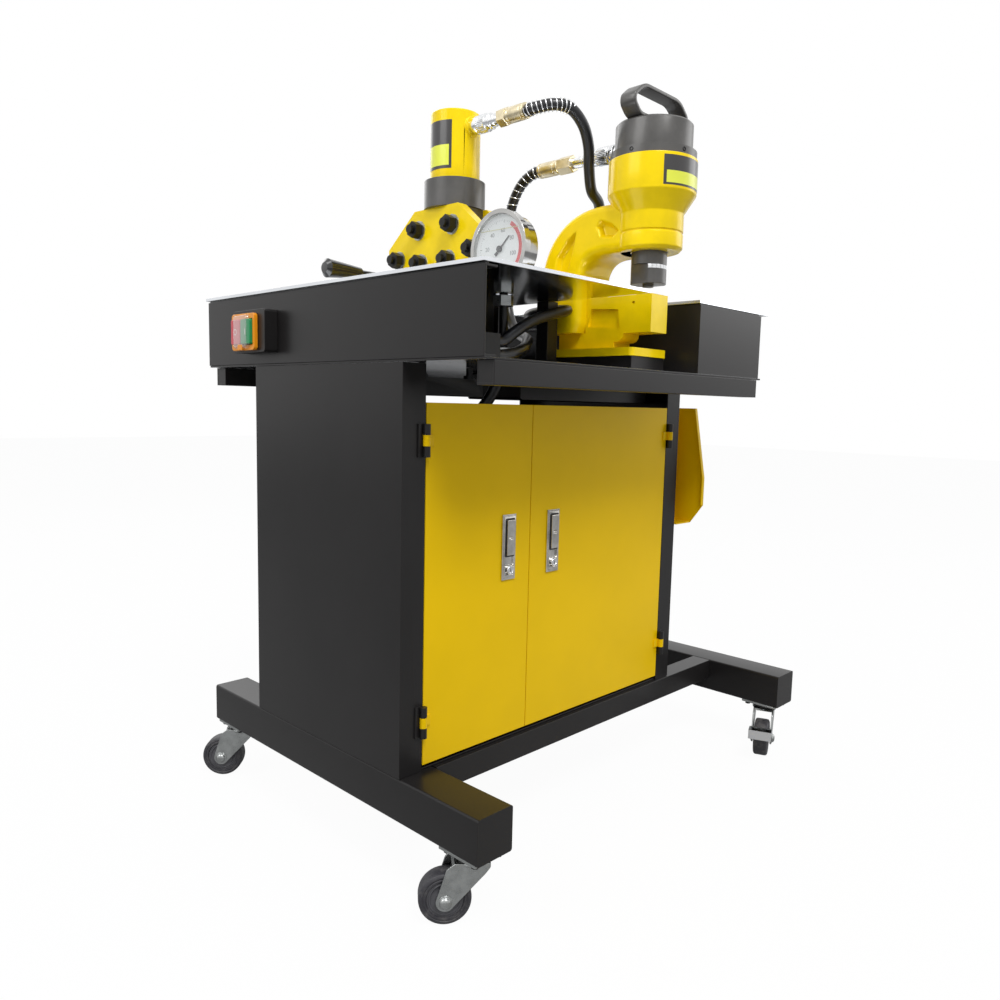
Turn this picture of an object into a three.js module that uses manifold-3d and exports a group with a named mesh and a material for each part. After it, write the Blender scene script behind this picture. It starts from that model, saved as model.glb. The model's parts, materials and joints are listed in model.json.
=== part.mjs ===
// Busbar processing machine: a caster-mounted cabinet with a busbar cutter and a hydraulic punch on its table.
// Millimetres. X runs right along the front, Y runs back, Z runs up from the floor. While it is built,
// x = 0 is the left foot's outer face and y = 0 the front ends of the feet; the last step centres the part.

import * as THREE from "three";
import { mergeVertices } from "three/addons/utils/BufferGeometryUtils.js";
import Module from "manifold-3d";

const wasm = await Module();
wasm.setup();

// Fits and shared allowances
const seat = 0.3;
const overrun = 4;
const mergeTolerance = 0.001;
const roundSides = 24;
const smallSides = 12;
const wheelSides = 20;

// Feet and casters
const foot = { width: 67, height: 66, length: 710, corner: 4 };
const frameWidth = 920;
const caster = {
  height: 104,
  plateWidth: 62,
  plateDepth: 72,
  plateThickness: 4,
  plateInset: 6,
  boltInset: 9,
  boltRadius: 5.5,
  boltDrop: 5,
  raceRadius: 24,
  raceHeight: 7,
  kingpinRadius: 7,
  kingpinHeadRadius: 11,
  kingpinHeadHeight: 4,
  crownHeight: 6,
  trail: 38,
  wheelRadius: 37.5,
  wheelWidth: 28,
  wheelTreadFillet: 5,
  hubRadius: 21,
  hubRecess: 3,
  sideClearance: 3,
  legThickness: 3,
  legFootRadius: 12,
  axleRadius: 5,
  axleNutRadius: 8.5,
  axleNutHeight: 6,
};
const casterYawDegrees = { frontLeft: 141, rearLeft: 135, frontRight: 202, rearRight: 60 };
const brake = { width: 44, length: 22, thickness: 3, lipHeight: 18, pinRadius: 3.5, pinBack: 38, pinRise: 26 };

// Cabinet
const beam = { height: 40, depth: 40, front: 157 };
const cabinet = { front: 162, depth: 389, top: 763, panel: 3, returnWidth: 42, rightFace: 694 };
const floorThickness = 3;
const backPanel = { thickness: 3, height: 535, sideGap: 12 };

// Deck and rails under it
const rail = { height: 31, depth: 31, wall: 3, front: 0, left: 13, right: 688, rearEnd: 712 };
const deck = { thickness: 3, inset: 2 };

// Heights in the tables whose names end in Rise are measured from the deck's top, and are raised to it here.
const deckBottom = cabinet.top + seat;
const deckTop = deckBottom + deck.thickness;

function raised(rises) {
  return Object.fromEntries(Object.entries(rises).map(([name, rise]) => [name, deckTop + rise]));
}

const supplyHole = { x: 225, y: 205, radius: 13 };
const bayPost = { x: 334, y: 196, width: 25, depth: 25 };
const hangerBar = { left: 47, right: 188, y: 198, depth: 14, drop: 20.3, height: 27, boltX: 165, boltRadius: 5, boltHead: 15 };

// Aprons and table top
const apron = { front: 6.5, rear: 715, rise: 111.7, wall: 3, flange: 22, upstand: 2.8 };
const rightApron = { left: 496, right: 705, leftWallRear: 360 };
const table = { thickness: 5, front: 8, rear: 722, left: -1, right: 733 };
const punchBay = { left: 353, right: 496, rear: 402 };
const gaugeHoleRadius = 13;
const cutterHoleMargin = 4;

// Doors, hinges and latches
const door = { sheet: 1.5, thickness: 17, bottom: 179, top: 709, gap: 1.6, meeting: 266 };
const hinge = {
  radius: 5.5,
  pinRadius: 2.6,
  boreGap: 0.3,
  knuckle: 15.5,
  knuckleGap: 0.4,
  proud: 0.6,
  leafWidth: 12,
  leafThickness: 2.5,
  topHeight: 656,
  bottomHeight: 247,
};
const latch = {
  width: 30,
  height: 104,
  top: 538,
  thickness: 4,
  bevel: 3,
  leftDoorX: 200,
  rightDoorX: 306,
  recessWidth: 18,
  recessHeight: 88,
  recessDepth: 2.6,
  paddleHeight: 56,
  paddleThickness: 5,
  paddleGap: 0.6,
  lockRadius: 7.5,
  lockProud: 3,
  pivotRadius: 1.6,
};

// Switch on the left apron
const switchBox = { front: 480, rear: 580, depth: 24, corner: 5 };
const bezel = { front: 500, rear: 572, thickness: 7, corner: 6 };
const switchRise = { boxBottom: 17.7, boxTop: 85.7, bezelBottom: 20.7, bezelTop: 79.7 };
const button = { width: 29, height: 40, middleGap: 2, proud: 5, depth: 9, clearance: 0.5, corner: 3 };
const coverLug = { width: 14, height: 9, thickness: 6 };

// Pressure gauge and the manifold under it
const gauge = {
  x: 220,
  y: 205,
  bezelRadius: 60,
  bezelDepth: 12,
  bezelLip: 7,
  caseRadius: 55,
  caseDepth: 34,
  dialDepth: 7,
  stemRadius: 7,
};
const gaugeRise = { middle: 182.7, stemBottom: 112.7 };
const pointer = {
  length: 27,
  tail: 13,
  width: 5,
  thickness: 1.2,
  hubRadius: 5,
  hubHeight: 2,
  clearance: 1.2,
  spindleRadius: 1.6,
};
const pointerDegrees = 47;
const manifold = { left: 120, right: 186, front: 160, rear: 235, height: 48 };
const columnFoot = { right: 255, front: 190, height: 15 };
const fitting = { nutAcross: 28, nutHeight: 16, neckRadius: 8 };

// Cutting head
const cutter = {
  x: 298,
  y: 390,
  cylinderRadius: 43.5,
  cylinderHeight: 114,
  collarRadius: 53.5,
  collarHeight: 47,
  plateTopHalf: 56,
  shoulderHalf: 128,
  waistHalf: 92,
  plateThickness: 20,
  plateGap: 48,
  baseHeight: 14,
  baseHalf: 96,
  baseReach: 97,
  windowHalf: 66,
  spacerThickness: 14,
  headBlockHeight: 38,
  headBlockHalf: 48,
  bevel: 2,
};
const cutterRise = {
  plateTop: 277.7,
  shoulderTop: 218.7,
  shoulderBottom: 206.7,
  waistTop: 168.7,
  windowBottom: 117.7,
  windowTop: 149.7,
};
const cutterBolt = { nutAcross: 25, nutHeight: 15, washerRadius: 17, washerThickness: 2, stubRadius: 7.5, stub: 7 };
const cutterBoltShares = [
  [-0.34, 0.53],
  [0.34, 0.53],
  [-0.76, 0.1],
  [0.76, 0.1],
  [-0.28, 0],
  [0.28, 0],
];
const blade = { thickness: 16, half: 62, clearance: 0.3, stemRadius: 14, stemHeight: 24 };
const clampLever = {
  y: 455,
  rise: 158.7,
  bossRadius: 9,
  bossWidth: 12,
  rodRadius: 5.5,
  gripStart: 143,
  gripEnd: 77,
  gripNeckRadius: 9,
  gripEndRadius: 15.5,
  earThickness: 6,
  earReach: 20,
  pinRadius: 4,
  sideGap: 0.5,
};

// Punching head
const punch = {
  x: 425,
  y: 63,
  headRadius: 70,
  neckRadius: 52,
  grooveHeight: 4,
  grooveDepth: 1.5,
  edge: 4,
  baseThickness: 13,
  baseFront: -9,
  baseRear: 176,
  baseHalf: 50,
  baseCorner: 8,
  boreDepth: 46,
  pocketDepth: 6,
};
const punchRise = {
  headTop: 328.7,
  headStraight: 275.7,
  neckTop: 247.7,
  grooveTop: 219.7,
  headBottom: 189.7,
  jawTop: 122.7,
  jawBottom: 62.7,
  baseTop: 37.7,
};

// The C frame is a wide arm and spine over a narrower jaw. Reaches run back from the punch's middle.
const jaw = { width: 45, front: -24, neckTop: 29, neckFront: 48, neckRear: 165, neckDrop: 14 };
const dieScrewHole = { reach: 11, drop: 12, radius: 2.5 };
const arm = { width: 90, rounding: 8, throat: 108, rear: 196, crownDrop: 8, heelDrop: 57 };
// Corners of the recesses, as shares of the frame's reach and of its height from the jaw's underside.
const armPocketShares = [[0.158, 0.854], [0.22, 0.908], [0.342, 0.946], [0.357, 0.897], [0.327, 0.827]];
const spinePocketShares = [[0.571, 0.849], [0.648, 0.773], [0.74, 0.676], [0.735, 0.519], [0.628, 0.519], [0.602, 0.681]];
const jawPocketShares = [[0.189, 0.049], [0.209, 0.211], [0.495, 0.232], [0.526, 0.07]];
const cap = { radius: 61, height: 56, flangeRadius: 68, flangeHeight: 12, bevel: 3 };
const strap = {
  thickness: 6,
  width: 28,
  rise: 50,
  flatHalf: 50,
  sideHalf: 75,
  shoulderDrop: 21,
  kneeRise: 16,
  footHalf: 58,
  footReach: 20,
  screwRadius: 6,
  screwHead: 4,
};
const ram = {
  radius: 28.5,
  rise: 139.7,
  upper: 40,
  flatDepth: 5,
  flatHeight: 30,
  punchRadius: 9,
  punchLength: 4,
};
const die = { radius: 19, height: 8, proud: 1.5, bore: 10.5 };
const baseBlock = { half: 46, front: -6, rear: 170 };

// Hydraulic couplings, hoses and spring guards
const coupling = { socketRadius: 15, adaptorRadius: 11, hexAcross: 26, sleeveRadius: 13, bossRadius: 16.5, bossProud: 2 };
const cutterCouplingLengths = { socket: 46, adaptor: 18, hex: 18, sleeve: 40 };
const punchCouplingLengths = { socket: 58, adaptor: 42, hex: 30, sleeve: 46 };
const hose = { radius: 8.5, sides: 8, steps: 56, supplySteps: 36 };
const springGuard = { wireRadius: 1.4, clearance: 1.5, cutterCurls: 12, punchCurls: 10, stepsPerCurl: 8, wireSides: 5 };
const cutterSpringEndShare = 0.18;
const punchSpringEndShare = 0.235;
const hoseRise = { cutterPort: 411.7, punchPort: 357.7, cutterHoseEnd: 38.7, punchHoseEnd: 17.7 };
const hoseEndY = { cutterHose: 177, punchHose: 176 };

// Power unit inside the cabinet
const tank = { left: 90, right: 390, front: 250, rearGap: 44, height: 250, lid: 6, portX: 150, portY: 290, portHeight: 36 };
const tankPortRadius = 13;
const motor = { radius: 68, height: 190, flangeRadius: 82, flangeHeight: 12, finDepth: 6, finWidth: 2.4, boxSize: 60 };
const motorFins = 16;
const controlBox = { left: 282, right: 640, front: 205, rear: 330, height: 46, corner: 4 };

// Sheet-metal pocket on the right side
const pocket = {
  top: 710,
  topFront: 153,
  knee: 573,
  front: 129,
  shin: 518,
  bottom: 480,
  bottomFront: 157,
  rear: 520,
  reach: 51,
  sheet: 2.5,
  flange: 8,
};

// Places worked out from the sizes above
const footTop = caster.height + foot.height;
const cabinetRear = cabinet.front + cabinet.depth;
const cabinetFloorTop = footTop + seat + floorThickness;
const apronTop = deckTop + apron.rise;
const tableBottom = apronTop + apron.upstand + seat;
const tableTop = tableBottom + table.thickness;
const apronBottom = deckTop + seat;
const backPanelRear = cabinetRear - cabinet.panel - seat;
const switchZ = raised(switchRise);
const gaugeZ = raised(gaugeRise);
const cutterZ = raised(cutterRise);
const punchZ = raised(punchRise);
const hoseZ = raised(hoseRise);
const clampLeverZ = deckTop + clampLever.rise;
const ramBottom = deckTop + ram.rise;
const stemX = gauge.x + gauge.caseDepth / 2;
const leftHingeX = cabinet.returnWidth - hinge.radius / 2;
const rightHingeX = cabinet.rightFace - cabinet.returnWidth + hinge.radius / 2;
const hingeY = cabinet.front - hinge.radius - hinge.proud;

const cutterPortY = cutter.y - cutter.cylinderRadius - coupling.bossProud;
const punchPortY = punch.y + cap.radius + coupling.bossProud;

const black = 0x35343a;
const yellow = 0xf3c90c;
const finishes = {
  blackPaint: { color: black, roughness: 0.45, metalness: 0.1 },
  yellowPaint: { color: yellow, roughness: 0.35, metalness: 0.05 },
  zinc: { color: 0xb9bcbd, roughness: 0.35, metalness: 0.9 },
  steelPlate: { color: 0xd6d8da, roughness: 0.3, metalness: 0.9 },
  chrome: { color: 0xdfe1e4, roughness: 0.12, metalness: 1 },
  brass: { color: 0xc9ab6a, roughness: 0.3, metalness: 0.9 },
  rubber: { color: 0x55545c, roughness: 0.7, metalness: 0 },
  hoseRubber: { color: 0x2b2a2e, roughness: 0.5, metalness: 0 },
  orangePlastic: { color: 0xf0a21c, roughness: 0.4, metalness: 0 },
  redPlastic: { color: 0xd8636b, roughness: 0.4, metalness: 0 },
  greenPlastic: { color: 0x2f8f5e, roughness: 0.4, metalness: 0 },
  blackOxide: { color: 0x2c2b2e, roughness: 0.4, metalness: 0.6 },
  pointerBlack: { color: 0x111111, roughness: 0.5, metalness: 0 },
};

const machine = new THREE.Group();

// Adds a finished shape to the machine under its own name.
function addPart(name, shape, finish, parent = machine) {
  const geometry = shape.isBufferGeometry ? shape : toGeometry(shape);
  const mesh = new THREE.Mesh(geometry, new THREE.MeshStandardMaterial(finishes[finish]));
  mesh.name = name;
  parent.add(mesh);
  return mesh;
}

// Turns a closed geometry into a solid that can be joined and cut.
function toSolid(geometry) {
  if (!geometry.isBufferGeometry) return geometry;
  const bare = new THREE.BufferGeometry();
  bare.setAttribute("position", geometry.getAttribute("position").clone());
  if (geometry.index) bare.setIndex(geometry.index.clone());
  const merged = mergeVertices(bare, mergeTolerance);
  const corners = merged.index.array;
  const kept = [];
  for (let i = 0; i < corners.length; i += 3) {
    const [a, b, c] = [corners[i], corners[i + 1], corners[i + 2]];
    if (a !== b && b !== c && c !== a) kept.push(a, b, c);
  }
  const vertProperties = new Float32Array(merged.getAttribute("position").array);
  return new wasm.Manifold(new wasm.Mesh({ numProp: 3, vertProperties, triVerts: new Uint32Array(kept) }));
}

function toGeometry(solid) {
  const mesh = solid.getMesh();
  const geometry = new THREE.BufferGeometry();
  geometry.setAttribute("position", new THREE.BufferAttribute(new Float32Array(mesh.vertProperties), 3));
  geometry.setIndex(new THREE.BufferAttribute(new Uint32Array(mesh.triVerts), 1));
  geometry.computeVertexNormals();
  return geometry;
}

function join(first, ...others) {
  return others.reduce((solid, other) => solid.add(toSolid(other)), toSolid(first));
}

function cut(first, ...tools) {
  return tools.reduce((solid, tool) => solid.subtract(toSolid(tool)), toSolid(first));
}

function box(x0, x1, y0, y1, z0, z1) {
  const geometry = new THREE.BoxGeometry(x1 - x0, y1 - y0, z1 - z0);
  return geometry.translate((x0 + x1) / 2, (y0 + y1) / 2, (z0 + z1) / 2);
}

// An outline from corner points.
function outline(points) {
  return new THREE.Shape(points.map(([u, v]) => new THREE.Vector2(u, v)));
}

// A rectangle with round corners.
function roundedOutline(u0, u1, v0, v1, radius) {
  const shape = new THREE.Shape();
  shape.absarc(u1 - radius, v0 + radius, radius, -Math.PI / 2, 0);
  shape.absarc(u1 - radius, v1 - radius, radius, 0, Math.PI / 2);
  shape.absarc(u0 + radius, v1 - radius, radius, Math.PI / 2, Math.PI);
  shape.absarc(u0 + radius, v0 + radius, radius, Math.PI, Math.PI * 1.5);
  return shape;
}

function extrude(shape, depth) {
  return new THREE.ExtrudeGeometry(shape, { depth, bevelEnabled: false, curveSegments: 4 });
}

// Extrusions of an outline drawn in (y, z), (x, z) or (x, y).
function alongX(shape, x0, x1) {
  const axes = new THREE.Matrix4().set(0, 0, 1, x0, 1, 0, 0, 0, 0, 1, 0, 0, 0, 0, 0, 1);
  return extrude(shape, x1 - x0).applyMatrix4(axes);
}

function alongY(shape, y0, y1) {
  const axes = new THREE.Matrix4().set(1, 0, 0, 0, 0, 0, -1, y1, 0, 1, 0, 0, 0, 0, 0, 1);
  return extrude(shape, y1 - y0).applyMatrix4(axes);
}

function alongZ(shape, z0, z1) {
  return extrude(shape, z1 - z0).translate(0, 0, z0);
}

// A round bar, cone or hexagon between two points on a line along an axis.
function taper(axis, centre, from, to, fromRadius, toRadius, sides = roundSides) {
  const geometry = new THREE.CylinderGeometry(toRadius, fromRadius, to - from, sides);
  const middle = (from + to) / 2;
  if (axis === "x") return geometry.rotateZ(-Math.PI / 2).translate(middle, centre[0], centre[1]);
  if (axis === "y") return geometry.translate(centre[0], middle, centre[1]);
  return geometry.rotateX(Math.PI / 2).translate(centre[0], centre[1], middle);
}

function bar(axis, centre, from, to, radius, sides = roundSides) {
  return taper(axis, centre, from, to, radius, radius, sides);
}

function hexBar(axis, centre, from, to, acrossFlats) {
  return bar(axis, centre, from, to, acrossFlats / Math.sqrt(3), 6);
}

// A turned body: profile points are [radius, height], starting and ending on the axis.
function turned(points, sides = roundSides) {
  const profile = points.map(([radius, height]) => new THREE.Vector2(radius, height));
  return new THREE.LatheGeometry(profile, sides).rotateX(Math.PI / 2);
}

const degrees = THREE.MathUtils.degToRad;

// The fixed half of a caster under a foot: top plate with bolt heads, ball race, kingpin and its head.
function casterTop(x, y) {
  const plateTop = caster.height;
  const plateBottom = plateTop - caster.plateThickness;
  const halfWidth = caster.plateWidth / 2;
  const halfDepth = caster.plateDepth / 2;
  const raceBottom = plateBottom - caster.raceHeight;
  const headTop = raceBottom - seat - caster.crownHeight - seat;
  const pieces = [
    box(x - halfWidth, x + halfWidth, y - halfDepth, y + halfDepth, plateBottom, plateTop + overrun),
    bar("z", [x, y], raceBottom, plateTop, caster.raceRadius),
    bar("z", [x, y], headTop - caster.kingpinHeadHeight, raceBottom + overrun, caster.kingpinRadius, smallSides),
    bar("z", [x, y], headTop - caster.kingpinHeadHeight, headTop, caster.kingpinHeadRadius, 6),
  ];
  for (const sx of [-1, 1]) {
    for (const sy of [-1, 1]) {
      const boltX = x + sx * (halfWidth - caster.boltInset);
      const boltY = y + sy * (halfDepth - caster.boltInset);
      pieces.push(bar("z", [boltX, boltY], plateBottom - caster.boltDrop, plateTop, caster.boltRadius, 6));
    }
  }
  return pieces;
}

const casterSwivelHeight = caster.height - caster.plateThickness - caster.raceHeight - seat;
const casterFrontY = caster.plateInset + caster.plateDepth / 2;
const casterRearY = foot.length - casterFrontY;
const leftFootX = foot.width / 2;
const rightFootX = frameWidth - foot.width / 2;

function buildFoot(name, centreX) {
  const half = foot.width / 2;
  const tube = alongY(
    roundedOutline(centreX - half, centreX + half, caster.height, footTop, foot.corner), 0, foot.length);
  addPart(name, join(tube, ...casterTop(centreX, casterFrontY), ...casterTop(centreX, casterRearY)), "blackPaint");
}

// A fork turns about its kingpin; in its own frame the wheel trails along +X below the swivel point.
function forkShape() {
  const crownTop = 0;
  const crownBottom = -caster.crownHeight;
  const axleZ = caster.wheelRadius - casterSwivelHeight;
  const inner = caster.wheelWidth / 2 + caster.sideClearance;
  const outer = inner + caster.legThickness;
  const legRear = caster.raceRadius;
  const crownReach = caster.raceRadius;
  const legTopWidth = crownReach * 2;
  const legPoints = [
    [crownReach - legTopWidth, crownTop],
    [legRear, crownTop],
    [caster.trail + caster.legFootRadius, axleZ + caster.legFootRadius / 2],
    [caster.trail + caster.legFootRadius / 2, axleZ - caster.legFootRadius],
    [caster.trail - caster.legFootRadius / 2, axleZ - caster.legFootRadius],
    [caster.trail - caster.legFootRadius - caster.axleRadius - seat, axleZ + caster.legFootRadius],
  ];
  const crown = box(-crownReach, crownReach, -outer, outer, crownBottom, crownTop);
  const pieces = [bar("z", [0, 0], crownBottom, crownTop, caster.raceRadius)];
  for (const side of [-1, 1]) {
    const y0 = side > 0 ? inner : -outer;
    pieces.push(alongY(outline(legPoints), y0, y0 + caster.legThickness));
    const nutStart = side > 0 ? outer - seat : -outer - caster.axleNutHeight;
    const nutEnd = nutStart + caster.axleNutHeight + seat;
    pieces.push(bar("y", [caster.trail, axleZ], nutStart, nutEnd, caster.axleNutRadius, 6));
  }
  pieces.push(bar("y", [caster.trail, axleZ], -outer, outer, caster.axleRadius, smallSides));
  return cut(join(crown, ...pieces),
    bar("z", [0, 0], crownBottom - overrun, crownTop + overrun, caster.kingpinRadius + seat, smallSides));
}

function wheelShape() {
  const half = caster.wheelWidth / 2;
  const fillet = caster.wheelTreadFillet;
  const outer = caster.wheelRadius;
  const bore = caster.axleRadius + seat;
  const profile = [
    [bore, -half],
    [caster.hubRadius, -half],
    [caster.hubRadius, -half + caster.hubRecess],
    [caster.hubRadius + fillet, -half + caster.hubRecess],
    [caster.hubRadius + fillet, -half],
    [outer - fillet, -half],
    [outer, -half + fillet],
    [outer, half - fillet],
    [outer - fillet, half],
    [caster.hubRadius + fillet, half],
    [caster.hubRadius + fillet, half - caster.hubRecess],
    [caster.hubRadius, half - caster.hubRecess],
    [caster.hubRadius, half],
    [bore, half],
    [bore, -half],
  ];
  const points = profile.map(([radius, width]) => new THREE.Vector2(radius, width));
  return new THREE.LatheGeometry(points, wheelSides).rotateY(Math.PI / wheelSides);
}

function brakeShape() {
  const pinZ = brake.pinRise - casterSwivelHeight + caster.wheelRadius;
  const pinX = caster.trail + brake.pinBack;
  const half = brake.width / 2;
  const top = pinZ + brake.pinRadius + brake.thickness;
  const plate = box(pinX, pinX + brake.length, -half, half, top - brake.thickness, top);
  const lip = box(
    pinX + brake.length - brake.thickness, pinX + brake.length, -half, half, top - brake.lipHeight, top);
  const barrel = bar("y", [pinX, pinZ], -half, half, brake.pinRadius + brake.thickness, smallSides);
  return join(barrel, plate, lip);
}

function buildCaster(label, x, y, yaw, braked) {
  const swivel = new THREE.Group();
  swivel.position.set(x, y, casterSwivelHeight);
  swivel.rotation.z = degrees(yaw);
  machine.add(swivel);
  let fork = forkShape();
  if (braked) {
    const pinX = caster.trail + brake.pinBack;
    const pinZ = brake.pinRise - casterSwivelHeight + caster.wheelRadius;
    const inner = caster.wheelWidth / 2 + caster.sideClearance;
    const axleZ = caster.wheelRadius - casterSwivelHeight;
    const armPoints = [
      [caster.trail - caster.legFootRadius, axleZ],
      [caster.trail + caster.legFootRadius, axleZ],
      [pinX, pinZ - brake.pinRadius - brake.thickness * 2],
      [pinX - brake.thickness * 2, pinZ],
    ];
    for (const side of [-1, 1]) {
      const y0 = side > 0 ? inner : -inner - caster.legThickness;
      fork = join(fork, alongY(outline(armPoints), y0, y0 + caster.legThickness));
    }
    fork = cut(fork, bar("y", [pinX, pinZ], -brake.width, brake.width,
      brake.pinRadius + brake.thickness + seat, smallSides));
    addPart(`${label}_brake_pedal`, brakeShape(), "chrome", swivel);
  }
  addPart(`${label}_fork`, fork, "zinc", swivel);
  const wheel = addPart(`${label}_wheel`, wheelShape(), "rubber", swivel);
  wheel.position.set(caster.trail, 0, caster.wheelRadius - casterSwivelHeight);
}

function buildRunningGear() {
  buildFoot("left_foot", leftFootX);
  buildFoot("right_foot", rightFootX);
  buildCaster("front_left", leftFootX, casterFrontY, casterYawDegrees.frontLeft, false);
  buildCaster("rear_left", leftFootX, casterRearY, casterYawDegrees.rearLeft, false);
  buildCaster("front_right", rightFootX, casterFrontY, casterYawDegrees.frontRight, true);
  buildCaster("rear_right", rightFootX, casterRearY, casterYawDegrees.rearRight, false);
}

// The fixed upper and lower knuckles of one hinge, on a leaf, with the pin through all three.
function fixedHinge(x, side, height) {
  const low = height - hinge.knuckle * 1.5;
  const high = height + hinge.knuckle * 1.5;
  const leafEdge = x - side * hinge.leafWidth;
  const leafFront = cabinet.front - hinge.leafThickness;
  const leaf = box(Math.min(x, leafEdge), Math.max(x, leafEdge), leafFront, cabinet.front + seat, low, high);
  const gap = bar("z", [x, hingeY], height - hinge.knuckle / 2 - hinge.knuckleGap,
    height + hinge.knuckle / 2 + hinge.knuckleGap, hinge.radius + seat * 2);
  const barrel = join(
    cut(join(bar("z", [x, hingeY], low, high, hinge.radius, smallSides), leaf), gap),
    bar("z", [x, hingeY], low, high, hinge.pinRadius, smallSides),
  );
  return barrel;
}

// The door's middle knuckle with the arm that reaches its front sheet.
function doorKnuckle(x, side, height, doorEdge) {
  const low = height - hinge.knuckle / 2;
  const high = height + hinge.knuckle / 2;
  const armEnd = doorEdge + side * hinge.leafWidth;
  const armFront = cabinet.front - hinge.leafThickness;
  const arm = box(Math.min(x, armEnd), Math.max(x, armEnd), armFront, cabinet.front - seat, low, high);
  const weld = box(Math.min(doorEdge, armEnd), Math.max(doorEdge, armEnd), armFront, cabinet.front + seat, low, high);
  const ring = join(bar("z", [x, hingeY], low, high, hinge.radius, smallSides), arm, weld);
  return cut(ring, bar("z", [x, hingeY], low - overrun, high + overrun,
    hinge.pinRadius + hinge.boreGap, smallSides));
}

// A side panel: one folded sheet with a return along its front and rear edges, and its hinge halves.
function buildSidePanel(name, outerX, side, hingeX) {
  const skin = outerX + side * cabinet.panel;
  const returnEnd = outerX + side * cabinet.returnWidth;
  const frontY = cabinet.front;
  const profile = outline([
    [outerX, frontY],
    [returnEnd, frontY],
    [returnEnd, frontY + cabinet.panel],
    [skin, frontY + cabinet.panel],
    [skin, cabinetRear - cabinet.panel],
    [returnEnd, cabinetRear - cabinet.panel],
    [returnEnd, cabinetRear],
    [outerX, cabinetRear],
  ]);
  const panel = alongZ(profile, footTop + seat, cabinet.top);
  const halves = [hinge.topHeight, hinge.bottomHeight].map((height) => fixedHinge(hingeX, side, height));
  addPart(name, join(panel, ...halves), "blackPaint");
}

function buildCabinet() {
  const beamBottom = footTop - beam.height;
  const beamLeft = foot.width + seat;
  const beamRight = frameWidth - foot.width - seat;
  const rearBeamFront = cabinetRear - beam.depth;
  addPart("front_beam",
    box(beamLeft, beamRight, beam.front, beam.front + beam.depth, beamBottom, footTop), "blackPaint");
  addPart("rear_beam",
    box(beamLeft, beamRight, rearBeamFront, rearBeamFront + beam.depth, beamBottom, footTop), "blackPaint");
  buildSidePanel("left_side_panel", 0, 1, leftHingeX);
  buildSidePanel("right_side_panel", cabinet.rightFace, -1, rightHingeX);
  const inside = cabinet.panel + seat;
  addPart("cabinet_floor",
    box(inside, cabinet.rightFace - inside, cabinet.front + inside, cabinetRear - inside,
      footTop + seat, cabinetFloorTop), "blackPaint");
  const backBottom = cabinetFloorTop + seat;
  addPart("back_panel",
    box(backPanel.sideGap, cabinet.rightFace - backPanel.sideGap, backPanelRear - backPanel.thickness, backPanelRear,
      backBottom, backBottom + backPanel.height), "blackPaint");
}

// A rail is a square tube, open at its ends.
function railShape(frontY) {
  const top = cabinet.top;
  const bottom = top - rail.height;
  const tube = box(rail.left, rail.right, frontY, frontY + rail.depth, bottom, top);
  const hollow = box(rail.left - overrun, rail.right + overrun, frontY + rail.wall,
    frontY + rail.depth - rail.wall, bottom + rail.wall, top - rail.wall);
  return cut(tube, hollow);
}

function buildDeck() {
  addPart("front_rail", railShape(rail.front), "blackPaint");
  addPart("rear_rail", railShape(rail.rearEnd - rail.depth), "blackPaint");
  const sheet = box(seat, rightApron.right, deck.inset, rail.rearEnd, deckBottom, deckTop);
  const hole = bar("z", [supplyHole.x, supplyHole.y], deckBottom - overrun, deckTop + overrun, supplyHole.radius);
  const post = box(bayPost.x, bayPost.x + bayPost.width, bayPost.y, bayPost.y + bayPost.depth,
    deckTop - seat, tableBottom - seat);
  const barTop = deckTop - hangerBar.drop;
  const barBottom = barTop - hangerBar.height;
  addPart("deck_plate", join(cut(sheet, hole), post), "steelPlate");
  const hanger = box(hangerBar.left, hangerBar.right, hangerBar.y, hangerBar.y + hangerBar.depth,
    barBottom, barTop);
  const hangerMiddle = hangerBar.y + hangerBar.depth / 2;
  const bolts = [hangerBar.boltX, hangerBar.left + hangerBar.right - hangerBar.boltX].map((x) =>
    join(
      bar("z", [x, hangerMiddle], barBottom + seat, deckBottom - seat, hangerBar.boltRadius, smallSides),
      hexBar("z", [x, hangerMiddle], barTop - seat, barTop + hangerBar.boltRadius, hangerBar.boltHead),
    ));
  addPart("hanger_bar", join(hanger, ...bolts), "blackPaint");
}

// An apron wall seen from its end: a skin with a flange at the bottom and a shelf and upstand at the top.
function apronWall(outerX, side) {
  const skin = outerX + side * apron.wall;
  const flange = outerX + side * apron.flange;
  const upstandEdge = skin + side * apron.wall;
  const shelfTop = apronTop;
  return outline([
    [outerX, apronBottom],
    [flange, apronBottom],
    [flange, apronBottom + apron.wall],
    [skin, apronBottom + apron.wall],
    [skin, shelfTop - apron.wall],
    [flange, shelfTop - apron.wall],
    [flange, shelfTop],
    [upstandEdge, shelfTop],
    [upstandEdge, shelfTop + apron.upstand],
    [skin, shelfTop + apron.upstand],
    [skin, shelfTop],
    [outerX, shelfTop],
  ]);
}

// The right apron's walls from above: a short left wall, the front and the long right wall.
function rightApronPlan(inset, thickness) {
  const outerLeft = rightApron.left + inset;
  const outerFront = apron.front + inset;
  const outerRight = rightApron.right - inset;
  return outline([
    [outerLeft, outerFront],
    [outerRight, outerFront],
    [outerRight, apron.rear],
    [outerRight - thickness, apron.rear],
    [outerRight - thickness, outerFront + thickness],
    [outerLeft + thickness, outerFront + thickness],
    [outerLeft + thickness, rightApron.leftWallRear],
    [outerLeft, rightApron.leftWallRear],
  ]);
}

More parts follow.
